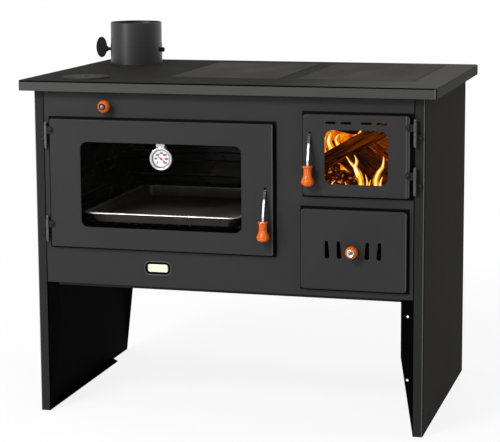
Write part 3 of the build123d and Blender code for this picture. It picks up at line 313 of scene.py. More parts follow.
front_grey = (0.029, 0.029, 0.0298)
# the sides, the back and the bottom take the front's coat painted darker: painted shade
painted_shade_grey = (0.0145, 0.0141, 0.0133)
highlight_grey = (0.13, 0.13, 0.128)
# the black of painted shade in gaps, seams and recesses
painted_shade_black = (0.0015, 0.0015, 0.0015)
front_face_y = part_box("front_panel")[0].y
front_edge_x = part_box("front_panel")[1].x
corner_x, rear_edge_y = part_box("side_panel_right")[1].xy
# each mark changes between two distances, outwards or backwards, from the edge that it follows
seam_fade = (0.0011, 0.0015)
strip_fade = (0.0006, 0.0016)
fold_fade = (0.009, 0.013)
inner_fade = (-0.0012, -0.0008)
flange_fade = (-0.003, -0.0024)
corner_highlight_fade = (-0.003, -0.0018)

side_paint = spray_paint("side_paint", painted_shade_grey, 0.7, 0.00012, shine=0.004)
side_x = abs(side_paint.along(0))
side_y = side_paint.along(1)
on_strip = 1 - side_y.past(front_face_y, strip_fade)
# painted shade on the side face behind the front corner, and on the inner faces short of the flange
painted_fold_shade = 1 - side_y.past(front_face_y, fold_fade)
painted_inner_shade = (1 - side_x.past(corner_x, inner_fade)) * (1 - side_y.past(rear_edge_y, flange_fade))
# on the front strip, painted shade along its seam with the front sheet
strip = side_paint.mix(side_x.past(front_edge_x, seam_fade), painted_shade_black, scaled(front_grey, 0.8))
# a painted highlight on the strip's rounded outer corner
strip = side_paint.mix(0.85 * side_x.past(corner_x, corner_highlight_fade), strip, highlight_grey)
wall = side_paint.mix((0.85 * painted_inner_shade).larger(painted_fold_shade), side_paint.paint, painted_shade_black)
side_paint.set(Base_Color=side_paint.mix(on_strip, wall, strip))
dress(side_paint, "side_panel_left", "side_panel_right")


# ---- Front, rear and bottom sheets ------------------------------------------------------------
# The flat front sheet fits between the side panels. The rear sheet is screwed on from behind
# with zinc-plated pan-head screws, and the bottom sheet closes the body above the open legs.
sheet_seam_fade = (-0.0015, -0.0011)
recess_fade = (0.0004, 0.0007)
gap_softness = 0.0008
# how far painted shade reaches round each cover, to the left, to the right, below and above it
cover_shade = {"oven_door": (0.0055, 0.0055, 0.004, 0.005),
               "fire_door": (0.0028, 0.0085, 0.004, 0.005),
               "ash_drawer_front": (0.0028, 0.0045, 0.004, 0.005)}


def sheet_painted_shade(coat):
    """Painted shade: the front sheet's upright edges, round its covers, and the badge's recess."""
    dark = abs(coat.along(0)).past(front_edge_x, sheet_seam_fade)
    for cover, (to_left, to_right, below, above) in cover_shade.items():
        low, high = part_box(cover)
        behind = 1
        for axis, start, end in ((0, low.x - to_left, high.x + to_right),
                                 (2, low.z - below, high.z + above)):
            place = coat.along(axis)
            behind = (behind * place.step(start - gap_softness, start)
                      * (1 - place.step(end, end + gap_softness)))
        dark = dark.larger(behind)
    return dark.larger(coat.along(1).past(front_face_y, recess_fade))


front_paint = spray_paint("front_paint", front_grey, 0.52, 0.00012, sheet_painted_shade)
dress(front_paint, "front_panel")
# the back and bottom sheets are painted darker like the sides, as painted shade
sheet_paint = spray_paint("sheet_paint", painted_shade_grey, 0.7, 0.00012, shine=0.02)
dress(sheet_paint, "back_panel", "bottom_plate")

zinc = Finish("zinc_plate", Metallic=1.0)
spangle = zinc.cells(420.0)
zinc_stain = zinc.noise(35.0, detail=4)
zinc.set(Base_Color=zinc.mix(zinc_stain, (0.42, 0.42, 0.43), (0.62, 0.62, 0.64)),
         Roughness=0.28 + 0.25 * spangle + 0.12 * zinc_stain)
zinc.bump(zinc.noise(900.0), 0.00004)
dress(zinc, "back_screws")


# ---- Badge ------------------------------------------------------------------------------------
# A small bare plate, with a raised bright rim round a cream enamel field. It is fixed in a
# shallow recess that is pressed into the front sheet and has a thin raised lip.
def link_piece(name, mesh_maker, finish, body, slot, *stands_for, sharp_degrees=35):
    """Make a bmesh a piece that rides on a body, in the given finish; the slot is not used."""
    bmesh.ops.recalc_face_normals(mesh_maker, faces=mesh_maker.faces)
    mesh = bpy.data.meshes.new(name)
    mesh_maker.to_mesh(mesh)
    mesh_maker.free()
    for face in mesh.polygons:
        face.use_smooth = True
    mesh.set_sharp_from_angle(angle=math.radians(sharp_degrees))
    mesh.materials.append(finish.material)
    piece = stand(name, mesh)
    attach(piece, body)
    if stands_for:
        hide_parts(*stands_for)


def loft(shape, rings, closed=False):
    """Join rings of corners with faces; a ring of one corner is a point. Flat ends are capped."""
    made = [[shape.verts.new(corner) for corner in ring] for ring in rings]
    pairs = list(zip(made, made[1:])) + ([(made[-1], made[0])] if closed else [])
    for low, high in pairs:
        count = max(len(low), len(high))
        for i in range(count):
            j = (i + 1) % count
            if len(low) == 1:
                shape.faces.new((low[0], high[j], high[i]))
            elif len(high) == 1:
                shape.faces.new((low[i], low[j], high[0]))
            else:
                shape.faces.new((low[i], low[j], high[j], high[i]))
    for end in (made[0], made[-1]):
        if len(end) > 2 and not closed:
            shape.faces.new(end)
    return shape


def rounded_ring(centre, half_width, half_depth, corner, facing, steps=6):
    """Corners of a rounded rectangle about a point: level ("up") or standing ("front")."""
    ring = []
    for quarter, (side_x, side_y) in enumerate(((1, 1), (-1, 1), (-1, -1), (1, -1))):
        for step in range(steps + 1):
            angle = math.pi / 2 * (quarter + step / steps)
            x = side_x * (half_width - corner) + corner * math.cos(angle)
            y = side_y * (half_depth - corner) + corner * math.sin(angle)
            offset = Vector((x, y, 0)) if facing == "up" else Vector((x, 0, y))
            ring.append(centre + offset)
    return ring


def middle_and_half(name):
    """The middle of a CAD node's box, and half its size."""
    low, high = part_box(name)
    return (low + high) / 2, (high - low) / 2


badge_middle, badge_half = middle_and_half("badge_plate")
badge_front_y = badge_middle.y - badge_half.y
badge_corner = badge_half.z * 0.55
badge_least_corner = 0.0004
# (inset from the plate's edge, depth behind its front)
badge_rim_steps = ((0.0, 0.0016), (0.0, 0.0006), (0.0002, 0.0002), (0.0006, 0.0), (0.0011, 0.0),
                   (0.0014, 0.0002), (0.0016, 0.0007), (0.0016, 0.0016))
badge_field_steps = ((0.0015, 0.0016), (0.0015, 0.0008), (0.0024, 0.0006), (0.0045, 0.00045))


def badge_rings(steps):
    """Standing rings of the badge, from its back to its front."""
    return [rounded_ring(Vector((badge_middle.x, badge_front_y + depth, badge_middle.z)),
                         badge_half.x - inset, badge_half.z - inset,
                         max(badge_corner - inset, badge_least_corner), "front")
            for inset, depth in steps]


bright_rim = Finish("badge_rim", Metallic=1.0, Base_Color=(0.62, 0.6, 0.55))
bright_rim.set(Roughness=0.2 + 0.2 * bright_rim.noise(260.0, detail=4))
bright_rim.bump(bright_rim.noise(500.0), 0.00003)
cream_enamel = Finish("badge_enamel", Coat_Weight=0.6, Coat_Roughness=0.1, Roughness=0.3)
crazing = cream_enamel.cells(900.0, "DISTANCE_TO_EDGE").step(0.0, 0.04)
cream_cloud = cream_enamel.noise(160.0, detail=4)
cream = cream_enamel.mix(cream_cloud, (0.78, 0.71, 0.5), (0.86, 0.8, 0.62))
cream_enamel.set(Base_Color=cream_enamel.mix(crazing, (0.45, 0.38, 0.24), cream))
cream_enamel.bump(crazing, 0.00002)
recess_half_width = 0.030
recess_half_height = 0.01425
recess_corner = 0.0115
# (outwards from the recess's edge, in front of the sheet)
lip_section = ((0.0, -0.0002), (0.0, 0.0005), (0.0005, 0.0009),
               (0.0012, 0.001), (0.0019, 0.0007), (0.0023, -0.0002))
lip_paint = spray_paint("badge_lip_paint", (0.06, 0.06, 0.061), 0.4, 0.00005, shine=0.3)
lip_rings = [rounded_ring(Vector((badge_middle.x, front_face_y - proud, badge_middle.z)),
                          recess_half_width + out, recess_half_height + out,
                          recess_corner + out, "front") for out, proud in lip_section]
link_piece("badge_lip", loft(bmesh.new(), lip_rings, closed=True), lip_paint,
           "root", "front_paint")
link_piece("badge_rim", loft(bmesh.new(), badge_rings(badge_rim_steps), closed=True), bright_rim,
           "root", "badge", "badge_plate")
link_piece("badge_field", loft(bmesh.new(), badge_rings(badge_field_steps)), cream_enamel,
           "root", "badge")


# ---- Cooktop and hotplates --------------------------------------------------------------------
# A thick steel sheet with turned-down rims, and two cast plates that drop into its ledges. The
# right plate has a round lift-out lid. All are blacked, and slightly worn from use.
cooktop_low, cooktop_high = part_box("cooktop")
# distances over which the painted shade lines, the end faces and the painted highlight line change
rim_shade_back_fade = (0.0026, 0.0034)
rim_shade_top_fade = (-0.0041, -0.0036)
end_shade_fade = (-0.0024, -0.002)
end_rim_shade_back_fade = (0.011, 0.014)
top_fade = (-0.0012, -0.0005)
end_face_fade = (-0.001, -0.0006)
highlight_line_inset = 0.0036
highlight_line_fade = (0.0009, 0.0016)
highlight_line_back_fade = (0.001, 0.002)
# where the top begins to grow paler towards the right, and where it is palest
pale_top_reach = (0.05, 0.46)


def rim_shade_line(coat):
    """A painted shade line where the folded front rim meets the top and the side rims."""
    face = 1 - coat.along(1).past(cooktop_low.y, rim_shade_back_fade)
    below_top = coat.along(2).past(cooktop_high.z, rim_shade_top_fade)
    ends = abs(coat.along(0)).past(cooktop_high.x, end_shade_fade)
    at_front = 1 - coat.along(1).past(cooktop_low.y, end_rim_shade_back_fade)
    return at_front * ends.larger(face * below_top)


cooktop_paint = spray_paint("cooktop_paint", (0.058, 0.0575, 0.0565), 0.72, 0.00014, rim_shade_line,
                            shine=0.01)
cooktop_x = abs(cooktop_paint.along(0))
on_top = cooktop_paint.along(2).past(cooktop_high.z, top_fade)
# the rim's end faces are painted darker than its front: painted shade
end_face = (1 - on_top) * cooktop_x.past(cooktop_high.x, end_face_fade)
# a painted highlight runs down the rim's front face near its right end
off_highlight = abs(cooktop_paint.along(0) - (cooktop_high.x - highlight_line_inset))
off_highlight = off_highlight.step(*highlight_line_fade)
off_highlight = off_highlight.larger(cooktop_paint.along(1).past(cooktop_low.y, highlight_line_back_fade))
top_tone = cooktop_paint.mix(cooktop_paint.along(0).step(*pale_top_reach),
                             (0.02, 0.0195, 0.0185), (0.085, 0.083, 0.081))
cooktop_tone = cooktop_paint.mix(on_top, cooktop_paint.paint, top_tone)
cooktop_tone = cooktop_paint.mix(end_face, cooktop_tone, (0.03, 0.0297, 0.029))
cooktop_paint.set(Base_Color=cooktop_paint.mix(off_highlight, (0.15, 0.15, 0.148), cooktop_tone))
dress(cooktop_paint, "cooktop")

cast_iron = Finish("cast_iron", Specular_IOR_Level=0.01)
sand = cast_iron.noise(520.0, detail=4)
pits = cast_iron.cells(260.0).step(0.08, 0.3)
slid_on = cast_iron.noise(9.0, detail=6, stretch=(1, 0.35, 1)).step(0.3, 0.8)
iron = cast_iron.mix(0.7 * slid_on + 0.3 * sand, (0.03, 0.029, 0.0275), (0.042, 0.0405, 0.0385))
# painted shade darkens the plates' edges, wider at the front and the back than at the sides
side_shade_fade = (-0.0035, -0.0012)
front_shade_fade = (-0.012, -0.003)
shade_end_fade = (0.0, 0.001)
shade_depth_fade = (-0.004, 0.0)
plate_edge_shade = 0
for plate in ("middle_hotplate", "right_hotplate"):
    plate_middle, plate_half = middle_and_half(plate)
    off_x = abs(cast_iron.along(0) - plate_middle.x)
    off_y = abs(cast_iron.along(1) - plate_middle.y)
    edges = off_x.past(plate_half.x, side_shade_fade).larger(
        off_y.past(plate_half.y, front_shade_fade))
    plate_edge_shade = plate_edge_shade + (1 - off_x.past(plate_half.x, shade_end_fade)) * edges
plate_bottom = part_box("right_hotplate")[0].z
plate_edge_shade = plate_edge_shade * cast_iron.along(2).past(plate_bottom, shade_depth_fade)
cast_iron.set(Base_Color=cast_iron.mix(0.8 * plate_edge_shade, iron, painted_shade_black),
              Roughness=0.62 - 0.1 * slid_on)
cast_iron.bump(0.75 * sand + 0.25 * pits, 0.0002)
dress(cast_iron, "middle_hotplate", "right_hotplate", "round_lid", "cleanout_cap")


# ---- Flue collar and damper -------------------------------------------------------------------
# A welded steel tube drawn in at its upper end. A shaft across it carries the round damper plate,
# with a nut on one end and a leaf-shaped sheet handle on the other.
collar_paint = spray_paint("collar_paint", (0.006, 0.006, 0.0063), 0.36, 0.00003, shine=0.5)
damper_paint = spray_paint("damper_paint", (0.004, 0.004, 0.0042), 0.5, 0.00003, shine=0.08)
dress(collar_paint, "flue_collar")
dress(damper_paint, "damper_handle", "damper_shaft")

raw_steel = Finish("raw_steel", Metallic=1.0)
roll_marks = raw_steel.noise(60.0, detail=3, stretch=(12, 0.6, 1))
heat = raw_steel.noise(5.5, detail=3, twist=0.4)
heat_tint = raw_steel.ramp(heat, (0.3, (0.17, 0.16, 0.155)), (0.45, (0.2, 0.15, 0.1)),
                           (0.55, (0.11, 0.1, 0.13)), (0.7, (0.2, 0.195, 0.19)))
raw_steel.set(Base_Color=heat_tint, Roughness=0.42 + 0.2 * roll_marks)
raw_steel.bump(roll_marks, 0.00008)
dress(raw_steel, "damper_plate")


# ---- Oven box ---------------------------------------------------------------------------------
# The oven's muffle: welded sheet with two pressed runner ribs round its walls, coated inside and
# out with smooth black enamel that has a few baked-on marks.
oven_enamel = Finish("oven_enamel", Coat_Weight=0.12, Coat_Roughness=0.12, Specular_IOR_Level=0.06)
baked_marks = oven_enamel.noise(14.0, detail=6, twist=0.8).step(0.56, 0.72)
flecks = oven_enamel.cells(800.0).step(0.0, 0.12)
# heights of the ribs' edges, which carry painted highlight lines
rib_edges = (0.470, 0.494, 0.530, 0.554)
rib_edge_fade = (0.0006, 0.0022)
rib_highlight = 0
for edge_z in rib_edges:
    rib_highlight = rib_highlight + oven_enamel.along(2).near(edge_z, rib_edge_fade)
enamel = oven_enamel.mix(flecks, (0.003, 0.003, 0.0031), (0.0015, 0.0015, 0.0016))
enamel = oven_enamel.mix(baked_marks, enamel, (0.0028, 0.0018, 0.0012))
oven_enamel.set(Base_Color=oven_enamel.mix(rib_highlight, enamel, (0.055, 0.053, 0.05)),
                Roughness=0.25 + 0.3 * baked_marks)
oven_enamel.bump(oven_enamel.noise(90.0, detail=3), 0.00015)
dress(oven_enamel, "oven_box")


# ---- Oven grid --------------------------------------------------------------------------------
# A rack of round bright wires welded on two thicker bars, whose bent ends stand on the oven's
# floor. The tray rests on it.
def circle_angles(steps):
    """Even angles once round a circle."""
    return [2 * math.pi * step / steps for step in range(steps)]


def spoke(side, other, angle):
    """A step outwards from a line, at an angle from one direction across it to the other."""
    return side * math.cos(angle) + other * math.sin(angle)


def tube(shape, path, radius, steps=10):
    """A round wire along a path of points, with flat ends, added to a bmesh."""
    rings = []
    for index, point in enumerate(path):
        before = path[max(index - 1, 0)]
        after = path[min(index + 1, len(path) - 1)]
        line = (after - before).normalized()
        across = line.orthogonal() if index == 0 else side
        side = (across - line * across.dot(line)).normalized()
        other = line.cross(side)
        rings.append([point + spoke(side, other, a) * radius for a in circle_angles(steps)])
    return loft(shape, rings)


grid_low, grid_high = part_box("oven_grid")
wire_radius = 0.002
bar_radius = 0.003
wire_count = 15
wire_end_gap = 0.018
bar_inset = 0.043
bar_bend = 0.012
bar_bend_steps = 6
bar_z = grid_high.z - 2 * wire_radius - bar_radius
grid_shape = bmesh.new()
wire_span = grid_high.x - grid_low.x - 2 * wire_end_gap
for index in range(wire_count):
    wire_x = grid_low.x + wire_end_gap + wire_span * index / (wire_count - 1)
    wire_z = grid_high.z - wire_radius
    tube(grid_shape, [Vector((wire_x, y, wire_z)) for y in (grid_low.y, grid_high.y)], wire_radius)
for bar_y in (grid_low.y + bar_inset, grid_high.y - bar_inset + 2 * bar_radius):
    left = grid_low.x + bar_radius
    far = grid_high.x - bar_radius
    bend = [Vector((left, bar_y, grid_low.z)), Vector((left, bar_y, bar_z - bar_bend))]
    for step in range(1, bar_bend_steps):
        angle = math.pi / 2 * step / bar_bend_steps
        bend.append(Vector((left + bar_bend * (1 - math.cos(angle)), bar_y,
                            bar_z - bar_bend * (1 - math.sin(angle)))))
    bend.append(Vector((left + bar_bend, bar_y, bar_z)))
    other_side = [Vector((left + far - point.x, point.y, point.z)) for point in reversed(bend)]
    tube(grid_shape, bend + other_side, bar_radius)
bright_wire = Finish("grid_wire", Metallic=1.0)
wire_heat = bright_wire.noise(18.0, detail=3)
bright_wire.set(Base_Color=bright_wire.mix(wire_heat, (0.03, 0.026, 0.022), (0.09, 0.085, 0.08)),
                Roughness=0.32 + 0.2 * wire_heat)
bright_wire.bump(bright_wire.noise(700.0), 0.00005)
link_piece("oven_rack", grid_shape, bright_wire, "oven_grid", "grid_wire", "oven_grid")


# ---- Baking tray ------------------------------------------------------------------------------
# A deep tray pressed from one sheet with sloping walls, its edge rolled round a wire. The inside
# is dark from use, and the rolled edge is rubbed bright.
tray_low, tray_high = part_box("baking_tray")
tray_middle, tray_half = middle_and_half("baking_tray")
tray_wall_start = 0.0075
tray_slope = 0.013
tray_brow_slope = 0.08 * tray_slope
tray_brow_drop = 0.004
tray_floor_bend = 0.006
tray_bend_steps = 5
tray_sheet = 0.0012
bead_radius = 0.002
bead_turn = 2 * math.pi * 0.86
bead_steps = 10
tray_corner = 0.025
tray_least_corner = 0.008
tray_rub_fade = (-0.0032, -0.0008)


def tray_ring(inset, height):
    """A level ring of the tray, inset from its outer edge."""
    centre = Vector((tray_middle.x, tray_middle.y, height))
    return rounded_ring(centre, tray_half.x - inset, tray_half.y - inset,
                        max(tray_corner - inset * 0.5, tray_least_corner), "up", steps=10)


def tray_profile(skin):
    """(inset, height) points from the rolled edge down to the floor, offset by the sheet."""
    floor_z = tray_low.z + skin
    edge_z = tray_high.z - tray_sheet
    wall = tray_wall_start + skin
    points = [(bead_radius * 2, edge_z + skin), (tray_wall_start, edge_z + skin)]
    for share in (0.25, 0.5, 0.75):
        points.append((wall + tray_brow_slope * share, edge_z - tray_brow_drop * share * share))
    points.append((wall + tray_slope, floor_z + tray_floor_bend))
    for step in range(1, tray_bend_steps + 1):
        bend = math.sin(math.pi / 2 * step / tray_bend_steps)
        points.append((wall + tray_slope + tray_floor_bend * bend * 0.9,
                       floor_z + tray_floor_bend * (1 - bend) * (1 - bend)))
    return points


bead = [(bead_radius * (1 - math.cos(a)), tray_high.z - bead_radius * (1 - math.sin(a)))
        for a in (math.pi / 2 - bead_turn * k / bead_steps for k in range(bead_steps + 1))]
tray_section = tray_profile(tray_sheet)[::-1] + bead + tray_profile(0.0)
tray_rings = [tray_ring(*point) for point in tray_section]
tray_skin = Finish("tray_skin", Metallic=0.75)
tray_rub = tray_skin.along(2).past(tray_high.z, tray_rub_fade)
tray_burn = tray_skin.noise(24.0, detail=5, twist=0.5)
tray_scratch = tray_skin.noise(140.0, detail=2, stretch=(1, 0.04, 1)).step(0.6, 0.66)
tray_tone = tray_skin.mix(tray_burn, (0.2, 0.175, 0.14), (0.34, 0.32, 0.29))
tray_skin.set(Base_Color=tray_skin.mix(tray_rub, tray_tone, (0.86, 0.85, 0.83)),
              Roughness=0.38 + 0.2 * tray_burn - 0.12 * tray_scratch - 0.12 * tray_rub)
tray_skin.bump(0.7 * tray_burn + 0.3 * tray_scratch, 0.0001)
link_piece("roasting_tray", loft(bmesh.new(), tray_rings), tray_skin, "baking_tray", "tray_steel",
           "baking_tray")


# ---- Smoke way and bypass damper --------------------------------------------------------------
# Bare sheet parts over the oven: the baffle in front of the flue, the valve plate on its long
# rod, and the angle that steadies the rod. Heat has tinted them straw and blue.
dress(raw_steel, "flue_baffle", "bypass_plate", "bypass_guide")
dress(zinc, "bypass_rod")


# ---- Firebox ----------------------------------------------------------------------------------
# Fireclay slabs stand round a slotted cast grate on a steel floor plate. A cast frame behind the
# front sheet makes the firebox's mouth. Soot has darkened the slabs towards the fire.
dress(raw_steel, "firebox_divider", "firebox_floor")
dress(cast_iron, "fire_grate", "fire_frame")
grate_low, grate_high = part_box("fire_grate")
grate_middle = middle_and_half("fire_grate")[0]
soot_height_fade = (0.07, 0.14)
fireclay = Finish("fireclay", Specular_IOR_Level=0.05)
clay_grain = fireclay.noise(420.0, detail=5)
clay_chips = fireclay.cells(130.0).step(0.05, 0.22)
soot = fireclay.noise(9.0, detail=5, twist=0.5).step(0.3, 0.62)
soot = soot.larger(fireclay.along(2).past(grate_high.z, soot_height_fade))
clay = fireclay.mix(clay_grain, (0.36, 0.25, 0.15), (0.52, 0.4, 0.27))
fireclay.set(Base_Color=fireclay.mix(0.9 * soot, clay, (0.012, 0.01, 0.009)),
             Roughness=0.86 + 0.1 * clay_grain)
fireclay.bump(0.5 * clay_grain + 0.5 * clay_chips, 0.0009)
dress(fireclay, "firebricks")


# ---- The fire ---------------------------------------------------------------------------------
# Split logs lean crossed over a bed of embers on the grate. Their grain glows with painted light
# that stands for the tongues of flame between and behind them. It is what the stove holds in use,
# and no part of its body.
fire_dice = random.Random(7)
fire_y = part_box("fire_frame")[1].y


def glowing(name, strength, roughness=1.0):
    """A black finish that gives light of its own and mirrors nothing."""
    return Finish(name, Base_Color=(0.0, 0.0, 0.0), Roughness=roughness, Specular_IOR_Level=0.0,
                  Emission_Strength=strength)


def in_fire(x, y, z):
    """A point in millimetres to the right, behind the fire frame and above the grate."""
    return Vector((x / 1000, fire_y + y / 1000, grate_high.z + z / 1000))


def split_wood(name, incline, dark, light):
    """Burning split wood, grain at an incline: black splits in a face glowing with painted light.
    """
    wood = glowing(name, 1.0, 0.9)
    grain = wood.noise(300.0, detail=4, stretch=(0.05, 1, 1), incline=incline)
    splits = wood.noise(130.0, detail=3, stretch=(0.07, 1, 1), incline=incline).step(0.36, 0.46)
    patches = wood.noise(22.0, detail=3).step(0.3, 0.7)
    lit = grain.step(0.38, 0.66) * splits * (0.3 + 0.7 * patches)
    wood.set(Base_Color=wood.mix(grain, (0.003, 0.001, 0.0004), (0.016, 0.004, 0.001)),
             Emission_Color=wood.mix(lit, dark, light))
    wood.bump(0.6 * grain + 0.4 * splits, 0.0015)
    return wood


rising = math.radians(30)
falling = math.radians(-36)
rising_wood = split_wood("rising_split_wood", rising, (0.003, 0.0005, 0.0001),
                         (0.14, 0.024, 0.001))
falling_wood = split_wood("falling_split_wood", falling, (0.003, 0.0005, 0.0001),
                          (0.12, 0.02, 0.001))
red_wood = split_wood("red_split_wood", falling, (0.03, 0.003, 0.0001), (0.3, 0.055, 0.004))
flat_wood = split_wood("flat_split_wood", 0.0, (0.004, 0.0007, 0.0001), (0.11, 0.016, 0.001))
log_section_steps = 16
log_length_steps = 12
log_end_taper = 0.93
split_flatness = 0.78
# (finish, foot, head, radius), all in the fire's millimetres
logs = (
    (rising_wood, (178, 58, 52), (352, 67, 153), 20),
    (falling_wood, (256, 96, 108), (378, 76, 22), 25),
    (red_wood, (292, 140, 126), (396, 132, 56), 24),
    (flat_wood, (186, 34, 17), (232, 150, 19), 17),
    (flat_wood, (396, 88, 17), (352, 250, 19), 17),
    (falling_wood, (196, 190, 92), (300, 170, 18), 21),
)
for number, (wood, foot, head, radius) in enumerate(logs, 1):
    start, end = in_fire(*foot), in_fire(*head)
    line = (end - start).normalized()
    side = line.orthogonal().normalized()
    other = line.cross(side)
    roll = fire_dice.uniform(0, math.pi / 2)
    rings = [[start]]
    for step in range(log_length_steps + 1):
        middle = start.lerp(end, step / log_length_steps)
        taper = log_end_taper if step in (0, log_length_steps) else 1.0
        ring = []
        for angle in circle_angles(log_section_steps):
            flat = split_flatness / math.cos((angle + roll) % (math.pi / 2) - math.pi / 4)
            reach = radius / 1000 * min(flat, 1.0) * taper * fire_dice.uniform(0.97, 1.03)
            ring.append(middle + spoke(side, other, angle) * reach)
        rings.append(ring)
    rings.append([end])
    link_piece(f"log_{number}", loft(bmesh.new(), rings), wood, "root", "cast_iron")

ember_count = 230
# the first embers are spread over the grate, and the others are heaped at its left
spread_embers = 111
heap_start = 0.014
heap_width = 0.11
heap_height = 0.05
ember = glowing("embers", 1.2, 0.95)
ember_glow = ember.noise(110.0, detail=4).step(0.42, 0.76)
ember.set(Base_Color=ember.mix(ember_glow, (0.012, 0.008, 0.006), (0.04, 0.01, 0.003)),
          Emission_Color=ember.ramp(ember_glow, (0.0, (0.006, 0.001, 0.0001)),
                                    (0.45, (0.05, 0.006, 0.0002)), (1.0, (1.0, 0.24, 0.004))))
ember.bump(ember.cells(90.0), 0.003)
ember_shape = bmesh.new()
for number in range(ember_count):
    size = fire_dice.uniform(0.006, 0.014)
    spot = Vector((grate_middle.x + fire_dice.uniform(-0.1, 0.1),
                   fire_y + fire_dice.uniform(0.05, 0.3),
                   grate_high.z + size * fire_dice.uniform(0.5, 1.6)))
    if number >= spread_embers:
        across = fire_dice.uniform(0, 1)
        depth = fire_dice.uniform(0.055, 0.12)
        height = size + fire_dice.uniform(0, heap_height) * (1 - 0.6 * across)
        spot = Vector((grate_low.x + heap_start + heap_width * across, fire_y + depth,
                       grate_high.z + height))
    tumble = Euler((fire_dice.uniform(0, 3), fire_dice.uniform(0, 3), 0)).to_matrix().to_4x4()
    lump = bmesh.ops.create_icosphere(ember_shape, subdivisions=1, radius=size,
                                      matrix=Matrix.Translation(spot) @ tumble)
    for corner in lump["verts"]:
        corner.co += (corner.co - spot) * fire_dice.uniform(-0.25, 0.2)
        corner.co.z = max(corner.co.z, grate_high.z)
link_piece("ember_bed", ember_shape, ember, "root", "cast_iron", sharp_degrees=20)

flame_strength = 1.3
flame_edge = glowing("flame_edge", flame_strength)
edge_lick = flame_edge.noise(90.0, detail=3, stretch=(1.6, 1.6, 0.5), twist=0.6)
flame_edge.set(Emission_Color=flame_edge.ramp(edge_lick, (0.35, (0.9, 0.09, 0.0005)),
                                              (0.6, (1.0, 0.34, 0.002))),
               Alpha=0.3 + 0.5 * edge_lick.step(0.35, 0.6))
flame_heart = glowing("flame_heart", flame_strength)
heart_lick = flame_heart.noise(80.0, detail=3, stretch=(1.4, 1.4, 0.5))
flame_heart.set(Emission_Color=flame_heart.ramp(heart_lick, (0.3, (1.0, 0.42, 0.004)),
                                                (0.45, (1.0, 0.8, 0.04)),
                                                (0.58, (1.0, 0.95, 0.55))),
                Alpha=0.8 + 0.2 * heart_lick)
# (points from the foot to the tip of each tongue, widest half width), in the fire's millimetres
tongues = (
    (((302, 36, 8), (298, 36, 34), (290, 38, 58), (276, 42, 72), (264, 44, 88)), 7.5),
    (((292, 38, 40), (285, 40, 62), (288, 42, 78), (282, 44, 92)), 4.5),
    (((338, 36, 10), (332, 36, 32), (337, 36, 52), (348, 38, 70), (349, 40, 92)), 7.0),
    (((348, 38, 12), (342, 38, 28), (347, 38, 46)), 3.6),
    (((310, 38, 14), (313, 38, 30), (309, 38, 50)), 2.6),
    (((320, 40, 14), (317, 40, 26), (321, 40, 38)), 2.2),
    (((212, 110, 66), (215, 112, 92), (208, 114, 112), (214, 114, 132)), 9.0),
    (((226, 116, 72), (230, 118, 98), (224, 118, 116), (232, 118, 128)), 6.0),
    (((200, 104, 56), (202, 106, 78), (197, 106, 98), (203, 106, 124)), 7.0),
    (((268, 150, 106), (274, 150, 118), (272, 150, 128), (282, 150, 139)), 5.0),
    (((284, 150, 110), (290, 150, 122), (288, 150, 136)), 4.0),
    (((380, 60, 40), (384, 60, 66), (376, 62, 90), (382, 62, 112)), 6.0),
    (((236, 44, 12), (232, 44, 24), (240, 44, 34)), 2.6),
    (((262, 40, 10), (266, 40, 20), (262, 40, 32)), 2.2),
)


def smooth_path(points, steps):
    """Points of a smooth line through the given ones, without the last."""
    knots = [points[0], *points, points[-1]]
    path = []
    for before, begin, finish, after in zip(knots, knots[1:], knots[2:], knots[3:]):
        path += interpolate_bezier(begin, begin + (finish - before) / 6,
                                   finish - (after - begin) / 6, finish, steps + 1)[:-1]
    return path


tongue_section_steps = 12
tongue_length_steps = 6
tongue_flatness = 0.4
heart_lead = 4
heart_width = 0.42


def tongue_rings(points, half_width):
    """Flat oval rings up a smooth line, narrow at the foot and sharp at the tip."""
    line = [in_fire(*point) for point in points]
    path = smooth_path(line, tongue_length_steps)
    rings = [[path[0]]]
    for index, middle in enumerate(path[1:], 1):
        share = index / len(path)
        wide = half_width / 1000 * math.sin(math.pi * share ** 0.6) ** 0.8
        rings.append([middle + Vector((wide * math.cos(a), tongue_flatness * wide * math.sin(a), 0))
                      for a in circle_angles(tongue_section_steps)])
    return rings + [[line[-1]]]


edge_shape = bmesh.new()
heart_shape = bmesh.new()
for points, half_width in tongues:
    loft(edge_shape, tongue_rings(points, half_width))
    loft(heart_shape, tongue_rings([(x, y - heart_lead, z) for x, y, z in points],
                                   half_width * heart_width))
for name, shape, flame in (("flame_tongues", edge_shape, flame_edge),
                           ("flame_hearts", heart_shape, flame_heart)):
    link_piece(name, shape, flame, "root", "cast_iron", sharp_degrees=80)

